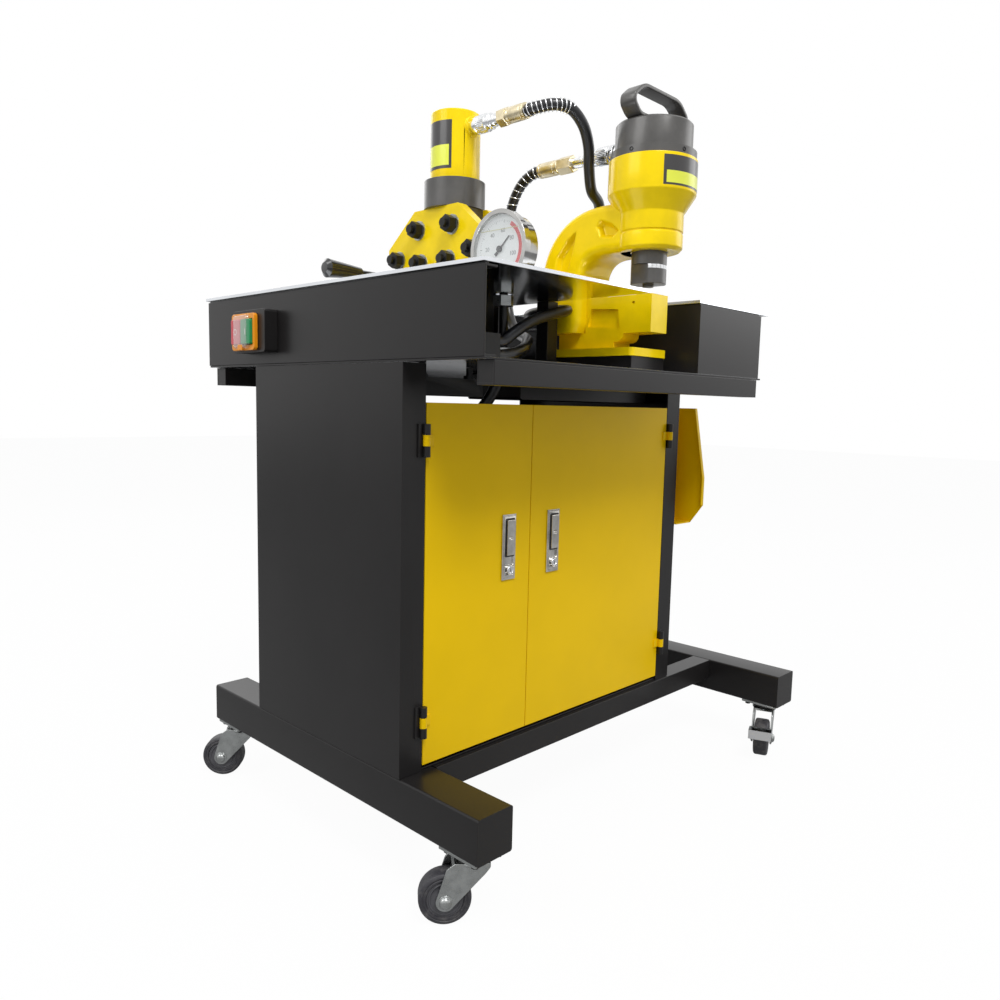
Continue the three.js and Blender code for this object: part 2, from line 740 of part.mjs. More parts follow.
function buildAprons() {
  addPart("left_apron", alongY(apronWall(0, 1), apron.front, apron.rear), "blackPaint");
  const right = rightApron.right;
  const walls = alongZ(rightApronPlan(0, apron.wall), apronBottom, apronTop);
  const upstand = alongZ(rightApronPlan(apron.wall - seat, apron.wall + seat),
    apronTop - apron.flange, apronTop + apron.upstand);
  const strip = (low) => box(right - apron.flange, right - seat, apron.front + seat, apron.rear - seat,
    low, low + apron.wall);
  const shelf = strip(apronTop - apron.wall - seat);
  const foldedFoot = strip(apronBottom);
  addPart("right_apron", join(walls, upstand, shelf, foldedFoot), "blackPaint");
}

function buildTableTop() {
  const shape = outline([
    [table.left, table.front],
    [punchBay.left, table.front],
    [punchBay.left, punchBay.rear],
    [punchBay.right, punchBay.rear],
    [punchBay.right, table.front],
    [table.right, table.front],
    [table.right, table.rear],
    [table.left, table.rear],
  ]);
  const sheet = alongZ(shape, tableBottom, tableTop);
  const low = tableBottom - overrun;
  const high = tableTop + overrun;
  const gaugeHole = bar("z", [stemX, gauge.y], low, high, gaugeHoleRadius);
  const reachX = cutter.plateGap / 2 + cutter.plateThickness + cutterHoleMargin;
  const reachY = cutter.waistHalf + cutterHoleMargin;
  const cutterHole = box(cutter.x - reachX, cutter.x + reachX, cutter.y - reachY, cutter.y + reachY, low, high);
  addPart("table_top", cut(sheet, gaugeHole, cutterHole), "steelPlate");
}

// A door is a pan: a front sheet with its four edges folded back, and two hinge knuckles.
function buildDoor(name, left, right, hingeX, side) {
  const front = cabinet.front;
  const rear = front + door.thickness;
  const shell = cut(
    box(left, right, front, rear, door.bottom, door.top),
    box(left + door.sheet, right - door.sheet, front + door.sheet, rear + overrun,
      door.bottom + door.sheet, door.top - door.sheet),
  );
  const hingeEdge = side > 0 ? left : right;
  const knuckles = [hinge.topHeight, hinge.bottomHeight].map((height) =>
    doorKnuckle(hingeX, side, height, hingeEdge));
  addPart(name, join(shell, ...knuckles), "yellowPaint");
}

// A latch has a bevelled frame with a recess, a paddle hinged at the top of it, and a round push lock below.
function buildLatch(side, left) {
  const middle = left + latch.width / 2;
  const bottom = latch.top - latch.height;
  const rear = cabinet.front - seat;
  const front = rear - latch.thickness;
  const slab = box(left, left + latch.width, front + latch.bevel / 2, rear, bottom, latch.top);
  const raised = box(left + latch.bevel, left + latch.width - latch.bevel, front, rear,
    bottom + latch.bevel, latch.top - latch.bevel);
  const recessTop = latch.top - (latch.height - latch.recessHeight) / 2;
  const recessBottom = recessTop - latch.recessHeight;
  const recess = box(middle - latch.recessWidth / 2, middle + latch.recessWidth / 2, front - overrun,
    front + latch.recessDepth, recessBottom, recessTop);
  const lockZ = recessBottom + latch.lockRadius + latch.paddleGap;
  const lock = bar("y", [middle, lockZ], front - latch.lockProud, front + latch.recessDepth + seat,
    latch.lockRadius, smallSides);
  addPart(`${side}_latch_plate`, join(cut(join(slab, raised), recess), lock), "chrome");
  const paddleFront = front - latch.paddleThickness + latch.recessDepth - latch.paddleGap;
  const paddleRear = front + latch.recessDepth - latch.paddleGap;
  const paddleHalf = latch.recessWidth / 2 - latch.paddleGap;
  const paddleTop = recessTop - latch.paddleGap;
  const paddle = box(middle - paddleHalf, middle + paddleHalf, paddleFront, paddleRear,
    paddleTop - latch.paddleHeight, paddleTop);
  const scoop = bar("x", [paddleFront, paddleTop - latch.paddleHeight / 2], middle - paddleHalf / 2,
    middle + paddleHalf / 2, latch.paddleThickness / 2, smallSides);
  addPart(`${side}_latch_paddle`, cut(paddle, scoop), "chrome");
}

function buildDoors() {
  const leftEdge = cabinet.returnWidth + door.gap;
  const rightEdge = cabinet.rightFace - cabinet.returnWidth - door.gap;
  const half = door.gap / 2;
  buildDoor("left_door", leftEdge, door.meeting - half, leftHingeX, 1);
  buildDoor("right_door", door.meeting + half, rightEdge, rightHingeX, -1);
  buildLatch("left", latch.leftDoorX);
  buildLatch("right", latch.rightDoorX);
}

function buildSwitch() {
  const boxFace = -switchBox.depth;
  addPart("switch_box", alongX(
    roundedOutline(switchBox.front, switchBox.rear, switchZ.boxBottom, switchZ.boxTop, switchBox.corner),
    boxFace, -seat), "blackPaint");
  const bezelRear = boxFace - seat;
  const bezelFront = bezelRear - bezel.thickness;
  const middleY = (bezel.front + bezel.rear) / 2;
  const middleZ = (switchZ.bezelBottom + switchZ.bezelTop) / 2;
  const pairHalf = button.width + button.middleGap / 2;
  const windowHalfY = pairHalf + button.clearance;
  const windowHalfZ = button.height / 2 + button.clearance;
  const frame = alongX(
    roundedOutline(bezel.front, bezel.rear, switchZ.bezelBottom, switchZ.bezelTop, bezel.corner), bezelFront, bezelRear);
  const window = box(bezelFront - overrun, bezelRear + overrun, middleY - windowHalfY, middleY + windowHalfY,
    middleZ - windowHalfZ, middleZ + windowHalfZ);
  const lug = box(bezelFront - coverLug.thickness, bezelRear, middleY - coverLug.width / 2,
    middleY + coverLug.width / 2, switchZ.bezelBottom, switchZ.bezelBottom + coverLug.height);
  addPart("switch_bezel", join(cut(frame, window), lug), "orangePlastic");
  const buttonFront = bezelFront - button.proud;
  const buttonRear = buttonFront + button.depth;
  const halfHeight = button.height / 2;
  const inner = button.middleGap / 2;
  const outer = inner + button.width;
  addPart("stop_button", alongX(
    roundedOutline(middleY + inner, middleY + outer, middleZ - halfHeight, middleZ + halfHeight, button.corner),
    buttonFront, buttonRear), "redPlastic");
  addPart("start_button", alongX(
    roundedOutline(middleY - outer, middleY - inner, middleZ - halfHeight, middleZ + halfHeight, button.corner),
    buttonFront, buttonRear), "greenPlastic");
}

// The gauge case is turned about an axis along X, with its dial side open towards -X.
function buildGauge() {
  const centre = [gauge.y, gaugeZ.middle];
  const bezelEnd = gauge.x + gauge.bezelDepth;
  const caseEnd = gauge.x + gauge.caseDepth;
  const dialX = gauge.x + gauge.dialDepth;
  const body = cut(
    join(
      bar("x", centre, gauge.x, bezelEnd, gauge.bezelRadius, roundSides * 2),
      bar("x", centre, bezelEnd - seat, caseEnd, gauge.caseRadius, roundSides * 2),
      bar("z", [stemX, gauge.y], gaugeZ.stemBottom, gaugeZ.middle, gauge.stemRadius, smallSides),
    ),
    bar("x", centre, gauge.x - overrun, dialX, gauge.bezelRadius - gauge.bezelLip, roundSides * 2),
  );
  const hubStart = dialX - seat - pointer.clearance;
  const spindle = bar("x", centre, hubStart + pointer.thickness / 2, dialX + seat, pointer.spindleRadius, smallSides);
  addPart("gauge_case", join(body, spindle), "chrome");

  const needle = new THREE.Group();
  needle.position.set(0, gauge.y, gaugeZ.middle);
  needle.rotation.x = degrees(pointerDegrees);
  machine.add(needle);
  const half = pointer.width / 2;
  const blade = outline([
    [-half, -pointer.tail],
    [half, -pointer.tail],
    [half / 2, 0],
    [half / 4, pointer.length],
    [-half / 4, pointer.length],
    [-half / 2, 0],
  ]);
  const needleFront = hubStart - pointer.thickness / 2;
  const arm = alongX(blade, needleFront, needleFront + pointer.thickness);
  const hub = bar("x", [0, 0], needleFront - pointer.hubHeight, needleFront + pointer.thickness, pointer.hubRadius);
  const bore = bar("x", [0, 0], hubStart - seat, hubStart + overrun, pointer.spindleRadius + seat, smallSides);
  addPart("gauge_pointer", cut(join(arm, hub), bore), "pointerBlack", needle);
}

function buildManifold() {
  const bottom = deckTop + seat;
  const footTopZ = bottom + columnFoot.height;
  const upperNutTop = gaugeZ.stemBottom - seat;
  const upperNutBottom = upperNutTop - fitting.nutHeight;
  const centre = [stemX, gauge.y];
  addPart("valve_manifold", join(
    box(manifold.left, manifold.right, manifold.front, manifold.rear, bottom, bottom + manifold.height),
    box(manifold.left, columnFoot.right, columnFoot.front, manifold.rear, bottom, footTopZ),
    hexBar("z", centre, footTopZ - seat, footTopZ + fitting.nutHeight, fitting.nutAcross),
    bar("z", centre, footTopZ, upperNutBottom + seat, fitting.neckRadius, smallSides),
    hexBar("z", centre, upperNutBottom, upperNutTop, fitting.nutAcross),
  ), "blackOxide");
}

// The outline of a cutter plate, drawn about the cutter's middle.
function cutterPlateOutline() {
  const right = [
    [cutter.plateTopHalf, cutterZ.plateTop],
    [cutter.shoulderHalf, cutterZ.shoulderTop],
    [cutter.shoulderHalf, cutterZ.shoulderBottom],
    [cutter.waistHalf, cutterZ.waistTop],
    [cutter.waistHalf, cutterBaseTop],
  ];
  const rightSide = right.map(([half, z]) => [cutter.y - half, z]);
  const leftSide = right.map(([half, z]) => [cutter.y + half, z]).reverse();
  return outline([...leftSide, ...rightSide]);
}

const cutterBaseTop = deckTop + seat + cutter.baseHeight;
const cutterLeftInner = cutter.x - cutter.plateGap / 2;
const cutterRightInner = cutter.x + cutter.plateGap / 2;
const cutterLeftFace = cutterLeftInner - cutter.plateThickness;

function cutterNuts() {
  const heightSpan = cutterZ.plateTop - cutterZ.waistTop;
  const nuts = [];
  for (const [alongShare, upShare] of cutterBoltShares) {
    const centre = [
      cutter.y + alongShare * cutter.shoulderHalf,
      cutterZ.waistTop + cutterBolt.washerRadius + upShare * heightSpan,
    ];
    const washer = cutterLeftFace - cutterBolt.washerThickness;
    const nut = washer - cutterBolt.nutHeight;
    nuts.push(
      bar("x", centre, washer, cutterLeftFace + seat, cutterBolt.washerRadius, smallSides),
      hexBar("x", centre, nut, washer + seat, cutterBolt.nutAcross),
      bar("x", centre, nut - cutterBolt.stub, nut + seat, cutterBolt.stubRadius, smallSides),
    );
  }
  return nuts;
}

function barWindow() {
  return box(cutterLeftFace - overrun, cutterRightInner + cutter.plateThickness + overrun,
    cutter.y - cutter.windowHalf, cutter.y + cutter.windowHalf, cutterZ.windowBottom, cutterZ.windowTop);
}

function leverEars() {
  const { y, bossRadius, bossWidth, earThickness, earReach, pinRadius, sideGap } = clampLever;
  const z = clampLeverZ;
  const pivotX = cutterLeftFace - earReach + bossRadius;
  const inner = bossWidth / 2 + sideGap;
  const ears = [-1, 1].map((side) => {
    const y0 = side > 0 ? y + inner : y - inner - earThickness;
    return box(cutterLeftFace - earReach, cutterLeftFace + seat, y0, y0 + earThickness, z - bossRadius, z + bossRadius);
  });
  return [...ears, bar("y", [pivotX, z], y - inner - earThickness, y + inner + earThickness, pinRadius, smallSides)];
}

function buildCutter() {
  const plate = cutterPlateOutline();
  const leftPlate = cut(alongX(plate, cutterLeftFace, cutterLeftInner), barWindow());
  addPart("cutter_left_plate", join(leftPlate, ...cutterNuts(), ...leverEars()), "yellowPaint");

  const spacerFrom = cutterLeftInner + seat;
  const spacerTop = cutterZ.plateTop - cutter.headBlockHeight - seat;
  const spacers = [-1, 1].map((side) => {
    const inner = cutter.y + side * cutter.windowHalf;
    const outerEdge = inner + side * cutter.spacerThickness;
    return box(spacerFrom, cutterRightInner + seat, Math.min(inner, outerEdge), Math.max(inner, outerEdge),
      cutterBaseTop - seat, spacerTop);
  });
  const anvil = box(spacerFrom, cutterRightInner + seat, cutter.y - cutter.windowHalf - seat,
    cutter.y + cutter.windowHalf + seat, cutterBaseTop - seat, cutterZ.windowBottom);
  const rightPlate = cut(
    alongX(plate, cutterRightInner, cutterRightInner + cutter.plateThickness), barWindow());
  const base = box(cutter.x - cutter.baseHalf, cutter.x + cutter.baseHalf, cutter.y - cutter.baseReach,
    cutter.y + cutter.baseReach, deckTop + seat, cutterBaseTop - seat);
  addPart("cutter_body", join(rightPlate, ...spacers, anvil, base), "yellowPaint");

  const collarBottom = cutterZ.plateTop + seat;
  const collarTop = collarBottom + cutter.collarHeight;
  const blockInset = seat * 2;
  const headBlock = box(cutterLeftInner + blockInset, cutterRightInner - blockInset,
    cutter.y - cutter.headBlockHalf, cutter.y + cutter.headBlockHalf,
    cutterZ.plateTop - cutter.headBlockHeight, collarBottom + seat);
  const stemBore = bar("z", [cutter.x, cutter.y], cutterZ.plateTop - cutter.headBlockHeight - overrun,
    cutterZ.plateTop, blade.stemRadius + blade.clearance);
  addPart("cutter_collar", cut(
    join(bar("z", [cutter.x, cutter.y], collarBottom, collarTop, cutter.collarRadius, roundSides * 2), headBlock),
    stemBore), "blackOxide");

  const cylinderBottom = collarTop + seat;
  const cylinderTop = cylinderBottom + cutter.cylinderHeight;
  const r = cutter.cylinderRadius;
  const cylinder = turned([
    [0, cylinderBottom],
    [r, cylinderBottom],
    [r, cylinderTop - cutter.bevel],
    [r - cutter.bevel, cylinderTop],
    [0, cylinderTop],
  ], roundSides * 2).translate(cutter.x, cutter.y, 0);
  const portBoss = bar("y", [cutter.x, hoseZ.cutterPort], cutter.y - r - coupling.bossProud, cutter.y, coupling.bossRadius);
  addPart("cutter_cylinder", join(cylinder, portBoss), "yellowPaint");

  const bladeTop = spacerTop - seat - blade.clearance;
  const bladeBottom = cutterZ.windowTop + blade.clearance;
  const edgeRise = blade.thickness / 2;
  const bladeBody = alongX(outline([
    [cutter.y - blade.half, bladeBottom + edgeRise],
    [cutter.y, bladeBottom],
    [cutter.y + blade.half, bladeBottom + edgeRise],
    [cutter.y + blade.half, bladeTop],
    [cutter.y - blade.half, bladeTop],
  ]), cutter.x - blade.thickness / 2, cutter.x + blade.thickness / 2);
  const bladeStem = bar("z", [cutter.x, cutter.y], bladeTop - seat, bladeTop + blade.stemHeight + blade.clearance,
    blade.stemRadius, smallSides);
  addPart("cutter_blade", join(bladeBody, bladeStem), "zinc");

  const pivotX = cutterLeftFace - clampLever.earReach + clampLever.bossRadius;
  const centre = [clampLever.y, clampLeverZ];
  const half = clampLever.bossWidth / 2;
  const boss = bar("y", [pivotX, clampLeverZ], clampLever.y - half, clampLever.y + half,
    clampLever.bossRadius - clampLever.sideGap, smallSides);
  const lever = join(
    boss,
    bar("x", centre, clampLever.gripStart - seat, pivotX - clampLever.pinRadius, clampLever.rodRadius, smallSides),
    taper("x", centre, clampLever.gripEnd, clampLever.gripStart, clampLever.gripEndRadius, clampLever.gripNeckRadius),
    taper("x", centre, clampLever.gripEnd - clampLever.rodRadius, clampLever.gripEnd + seat,
      clampLever.gripNeckRadius, clampLever.gripEndRadius),
  );
  addPart("clamp_lever", cut(lever, bar("y", [pivotX, clampLeverZ], clampLever.y - clampLever.bossWidth,
    clampLever.y + clampLever.bossWidth, clampLever.pinRadius + seat, smallSides)), "blackOxide");
}

// The narrow jaw seen from its side, with the neck that stands on the base and runs back under the spine.
function jawOutline() {
  const y = (reach) => punch.y + reach;
  const neckTop = punchZ.jawBottom - jaw.neckDrop;
  const shape = new THREE.Shape();
  shape.moveTo(y(jaw.front), punchZ.jawBottom);
  shape.lineTo(y(jaw.neckTop), punchZ.jawBottom);
  shape.quadraticCurveTo(y(jaw.neckTop), neckTop, y(jaw.neckFront), neckTop);
  shape.lineTo(y(jaw.neckFront), punchZ.baseTop - seat);
  shape.lineTo(y(jaw.neckRear), punchZ.baseTop - seat);
  shape.lineTo(y(jaw.neckRear), punchZ.jawTop);
  shape.lineTo(y(jaw.front), punchZ.jawTop);
  return shape;
}

// The wide arm and spine seen from the side, from the head back over the crown, down the spine and up the throat.
function armOutline() {
  const y = (reach) => punch.y + reach;
  const top = punchZ.headStraight - arm.crownDrop;
  const heel = punchZ.jawTop - arm.heelDrop;
  const shape = new THREE.Shape();
  shape.moveTo(y(0), top);
  shape.lineTo(y(0), punchZ.headBottom);
  shape.lineTo(y(punch.headRadius), punchZ.headBottom);
  shape.quadraticCurveTo(y(arm.throat), punchZ.headBottom, y(arm.throat), punchZ.headBottom - punch.boreDepth);
  shape.lineTo(y(arm.throat), heel + arm.rounding);
  shape.lineTo(y(arm.throat + arm.rounding), heel);
  shape.lineTo(y(arm.rear - arm.rounding * 2), heel);
  shape.lineTo(y(arm.rear), heel + arm.rounding * 2);
  shape.lineTo(y(arm.rear), punchZ.headBottom - arm.rounding);
  shape.quadraticCurveTo(y(arm.rear - arm.rounding), punchZ.grooveTop, y(arm.throat + arm.rounding), punchZ.neckTop);
  shape.quadraticCurveTo(y(punch.headRadius + arm.rounding), top, y(punch.headRadius), top);
  return shape;
}

// The arm with its edges rounded off all round both flanks.
function armShape() {
  const flank = new THREE.ExtrudeGeometry(armOutline(), {
    depth: arm.width - arm.rounding * 2,
    bevelThickness: arm.rounding,
    bevelSize: arm.rounding,
    bevelOffset: -arm.rounding,
    bevelSegments: 2,
    curveSegments: 4,
  });
  const axes = new THREE.Matrix4().set(0, 0, 1, punch.x - arm.width / 2 + arm.rounding,
    1, 0, 0, 0, 0, 1, 0, 0, 0, 0, 0, 1);
  return flank.applyMatrix4(axes);
}

// Recesses in both flanks: two in the arm and spine, one in the jaw.
function punchPockets() {
  const height = punchZ.neckTop - punchZ.jawBottom;
  const place = (shares) => outline(shares.map(([back, up]) =>
    [punch.y + back * arm.rear, punchZ.jawBottom + up * height]));
  const pockets = [
    { shape: place(armPocketShares), half: arm.width / 2 },
    { shape: place(spinePocketShares), half: arm.width / 2 },
    { shape: place(jawPocketShares), half: jaw.width / 2 },
  ];
  return pockets.flatMap(({ shape, half }) => [
    alongX(shape, punch.x - half - overrun, punch.x - half + punch.pocketDepth),
    alongX(shape, punch.x + half - punch.pocketDepth, punch.x + half + overrun),
  ]);
}

function buildPunch() {
  const half = jaw.width / 2;
  const centre = [punch.x, punch.y];
  const jawBody = alongX(jawOutline(), punch.x - half, punch.x + half);
  const grooveRadius = punch.neckRadius - punch.grooveDepth;
  const grooveBottom = punchZ.grooveTop - punch.grooveHeight;
  const head = turned([
    [0, punchZ.headBottom],
    [punch.neckRadius - punch.edge, punchZ.headBottom],
    [punch.neckRadius, punchZ.headBottom + punch.edge],
    [punch.neckRadius, grooveBottom],
    [grooveRadius, grooveBottom],
    [grooveRadius, punchZ.grooveTop],
    [punch.neckRadius, punchZ.grooveTop],
    [punch.neckRadius, punchZ.neckTop],
    [punch.headRadius, punchZ.headStraight],
    [punch.headRadius, punchZ.headTop],
    [0, punchZ.headTop],
  ], roundSides * 2).translate(punch.x, punch.y, 0);
  const bore = bar("z", centre, punchZ.headBottom - overrun, punchZ.headBottom + punch.boreDepth, ram.radius + seat);
  const base = alongZ(roundedOutline(punch.x - punch.baseHalf, punch.x + punch.baseHalf,
    punch.y + punch.baseFront, punch.y + punch.baseRear, punch.baseCorner),
    punchZ.baseTop - punch.baseThickness, punchZ.baseTop);
  const dieSeat = bar("z", centre, punchZ.jawTop - die.height, punchZ.jawTop + overrun, die.radius + seat);
  const slugHole = bar("z", centre, punchZ.jawBottom - overrun, punchZ.jawTop, die.bore);
  const crossHole = bar("x", [punch.y + dieScrewHole.reach, punchZ.jawTop - dieScrewHole.drop],
    punch.x - half - overrun, punch.x, dieScrewHole.radius, smallSides);
  const frame = cut(join(cut(join(jawBody, armShape()), ...punchPockets()), head, base),
    bore, dieSeat, slugHole, crossHole);
  addPart("punch_frame", frame, "yellowPaint");

  const capBottom = punchZ.headTop + seat;
  const capTop = capBottom + cap.height;
  const capBody = turned([
    [0, capBottom],
    [cap.flangeRadius, capBottom],
    [cap.flangeRadius, capBottom + cap.flangeHeight],
    [cap.radius, capBottom + cap.flangeHeight],
    [cap.radius, capTop - cap.bevel],
    [cap.radius - cap.bevel, capTop],
    [0, capTop],
  ], roundSides * 2).translate(punch.x, punch.y, 0);
  const boss = bar("y", [punch.x, hoseZ.punchPort], punch.y, punch.y + cap.radius + coupling.bossProud, coupling.bossRadius);
  addPart("punch_cap", join(capBody, boss), "blackOxide");

  buildStrapHandle(capTop + seat);

  const ramTop = punchZ.headBottom + ram.upper;
  const flatX = ram.radius - ram.flatDepth;
  const flats = [-1, 1].map((side) => {
    const inner = punch.x + side * flatX;
    const outer = punch.x + side * (ram.radius + overrun);
    return box(Math.min(inner, outer), Math.max(inner, outer), punch.y - ram.radius - overrun,
      punch.y + ram.radius + overrun, ramBottom - overrun, ramBottom + ram.flatHeight);
  });
  addPart("punch_ram", join(
    cut(bar("z", centre, ramBottom, ramTop, ram.radius), ...flats),
    bar("z", centre, ramBottom - ram.punchLength, ramBottom + seat, ram.punchRadius, smallSides),
  ), "blackOxide");

  const dieBottom = punchZ.jawTop - die.height + seat;
  addPart("punch_die", cut(
    bar("z", centre, dieBottom, punchZ.jawTop + die.proud, die.radius),
    bar("z", centre, dieBottom - overrun, punchZ.jawTop + die.proud + overrun, die.bore, smallSides),
  ), "zinc");

  addPart("punch_base_block", box(punch.x - baseBlock.half, punch.x + baseBlock.half,
    punch.y + baseBlock.front, punch.y + baseBlock.rear, deckTop + seat,
    punchZ.baseTop - punch.baseThickness - seat), "blackPaint");
}

// The handle is one bent strap along X: feet turned inward on the cap, sloped shoulders and a flat top.
function buildStrapHandle(bottom) {
  const t = strap.thickness;
  const screwX = strap.footHalf - strap.footReach / 2;
  const outerSide = [
    [strap.footHalf - strap.footReach, 0],
    [strap.footHalf, 0],
    [strap.sideHalf, strap.kneeRise],
    [strap.sideHalf, strap.rise - strap.shoulderDrop],
    [strap.flatHalf, strap.rise],
  ];
  const innerSide = [
    [strap.flatHalf - t / 2, strap.rise - t],
    [strap.sideHalf - t, strap.rise - strap.shoulderDrop - t / 2],
    [strap.sideHalf - t, strap.kneeRise + t / 2],
    [strap.footHalf - t / 2, t],
    [strap.footHalf - strap.footReach, t],
  ];
  const mirrored = (points) => points.map(([u, v]) => [-u, v]).reverse();
  const shape = outline([...outerSide, ...mirrored(outerSide), ...mirrored(innerSide), ...innerSide]);
  const placed = alongY(shape, punch.y - strap.width / 2, punch.y + strap.width / 2).translate(punch.x, 0, bottom);
  const screws = [-1, 1].map((side) => bar("z", [punch.x + side * screwX, punch.y], bottom + t - seat,
    bottom + t + strap.screwHead, strap.screwRadius, smallSides));
  addPart("punch_handle", join(placed, ...screws), "blackOxide");
}

// A coupling from its port: a socket, an adaptor, a hexagon and a ferrule that holds the hose.
function couplingShape(x, z, portY, side, lengths) {
  const ends = [lengths.socket, lengths.adaptor, lengths.hex, lengths.sleeve];
  let y = portY;
  const span = (length) => {
    const from = y;
    y += side * length;
    return [Math.min(from, y) - seat / 2, Math.max(from, y) + seat / 2];
  };
  const [socketEnds, adaptorEnds, hexEnds, sleeveEnds] = ends.map(span);
  const centre = [x, z];
  const body = join(
    bar("y", centre, ...socketEnds, coupling.socketRadius),
    bar("y", centre, ...adaptorEnds, coupling.adaptorRadius, smallSides),
    hexBar("y", centre, ...hexEnds, coupling.hexAcross),
    bar("y", centre, ...sleeveEnds, coupling.sleeveRadius),
  );
  return { body, end: y };
}

function vectors(points) {
  return points.map(([x, y, z]) => new THREE.Vector3(x, y, z));
}

// Route points are given as x, y and the height above the deck's top.
function fromDeck(points) {
  return points.map(([x, y, rise]) => [x, y, deckTop + rise]);
}

function hoseCurve(points) {
  return new THREE.CatmullRomCurve3(vectors(points), false, "centripetal");
}

function hoseTube(curve, steps = hose.steps) {
  const section = new THREE.Shape();
  for (let i = 0; i < hose.sides; i += 1) {
    const angle = (i / hose.sides) * Math.PI * 2;
    const point = [hose.radius * Math.cos(angle), hose.radius * Math.sin(angle)];
    if (i === 0) section.moveTo(...point);
    else section.lineTo(...point);
  }
  return new THREE.ExtrudeGeometry(section, { steps, extrudePath: curve, bevelEnabled: false });
}

// The middle of the spring's wire: a helix about the hose, whose ends run straight along the hose.
function springPath(curve, startShare, endShare, curls) {
  const radius = hose.radius + springGuard.clearance + springGuard.wireRadius;
  const count = curls * springGuard.stepsPerCurl;
  const frames = curve.computeFrenetFrames(hose.steps, false);
  const points = [];
  const frameAt = (share) => {
    const place = share * hose.steps;
    const low = Math.min(Math.floor(place), hose.steps - 1);
    const blend = place - low;
    const normal = frames.normals[low].clone().lerp(frames.normals[low + 1], blend).normalize();
    const tangent = curve.getTangentAt(share);
    const binormal = new THREE.Vector3().crossVectors(tangent, normal).normalize();
    return { normal, binormal, centre: curve.getPointAt(share) };
  };
  for (let i = 0; i <= count; i += 1) {
    const share = startShare + ((endShare - startShare) * i) / count;
    const angle = (i / springGuard.stepsPerCurl) * Math.PI * 2;
    const { normal, binormal, centre } = frameAt(share);
    points.push(centre.clone()
      .addScaledVector(normal, radius * Math.cos(angle))
      .addScaledVector(binormal, radius * Math.sin(angle)));
  }
  const lead = springGuard.wireRadius * 2;
  const first = points[0].clone().addScaledVector(curve.getTangentAt(startShare), -lead);
  const last = points[points.length - 1].clone().addScaledVector(curve.getTangentAt(endShare), lead);
  return [first, ...points, last];
}

// Sweeps a small polygon along the wire's points, with a flat cap at each end.
function wireTube(points) {
  const sides = springGuard.wireSides;
  const positions = [];
  let normal = null;
  points.forEach((point, i) => {
    const before = points[Math.max(i - 1, 0)];
    const after = points[Math.min(i + 1, points.length - 1)];
    const tangent = after.clone().sub(before).normalize();
    if (!normal) normal = new THREE.Vector3(tangent.y, -tangent.x, 0).normalize();
    normal = normal.clone().addScaledVector(tangent, -normal.dot(tangent)).normalize();
    const binormal = new THREE.Vector3().crossVectors(tangent, normal);
    for (let side = 0; side < sides; side += 1) {
      const angle = (side / sides) * Math.PI * 2;
      const corner = point.clone()
        .addScaledVector(normal, springGuard.wireRadius * Math.cos(angle))
        .addScaledVector(binormal, springGuard.wireRadius * Math.sin(angle));
      positions.push(corner.x, corner.y, corner.z);
    }
  });
  const indices = [];
  for (let ring = 0; ring < points.length - 1; ring += 1) {
    for (let side = 0; side < sides; side += 1) {
      const a = ring * sides + side;
      const b = ring * sides + ((side + 1) % sides);
      indices.push(a, b, b + sides, a, b + sides, a + sides);
    }
  }
  const lastRing = (points.length - 1) * sides;
  for (let side = 1; side < sides - 1; side += 1) {
    indices.push(0, side + 1, side);
    indices.push(lastRing, lastRing + side, lastRing + side + 1);
  }
  const geometry = new THREE.BufferGeometry();
  geometry.setAttribute("position", new THREE.Float32BufferAttribute(positions, 3));
  geometry.setIndex(indices);
  geometry.computeVertexNormals();
  return geometry;
}

// The least gap between two stretches of the wire that are at least half a curl apart.
function leastGap(points) {
  const apart = springGuard.stepsPerCurl / 2 + 1;
  let least = Infinity;
  for (let i = 0; i < points.length; i += 1) {
    for (let j = i + apart; j < points.length; j += 1) least = Math.min(least, points[i].distanceTo(points[j]));
  }
  return least - springGuard.wireRadius * 2;
}

function buildSpring(name, curve, endShare, curls) {
  const startShare = (springGuard.wireRadius * 2 + seat) / curve.getLength();
  const points = springPath(curve, startShare, endShare, curls);
  console.log(`${name}: least gap to itself ${leastGap(points).toFixed(2)} mm`);
  addPart(name, wireTube(points), "zinc");
}

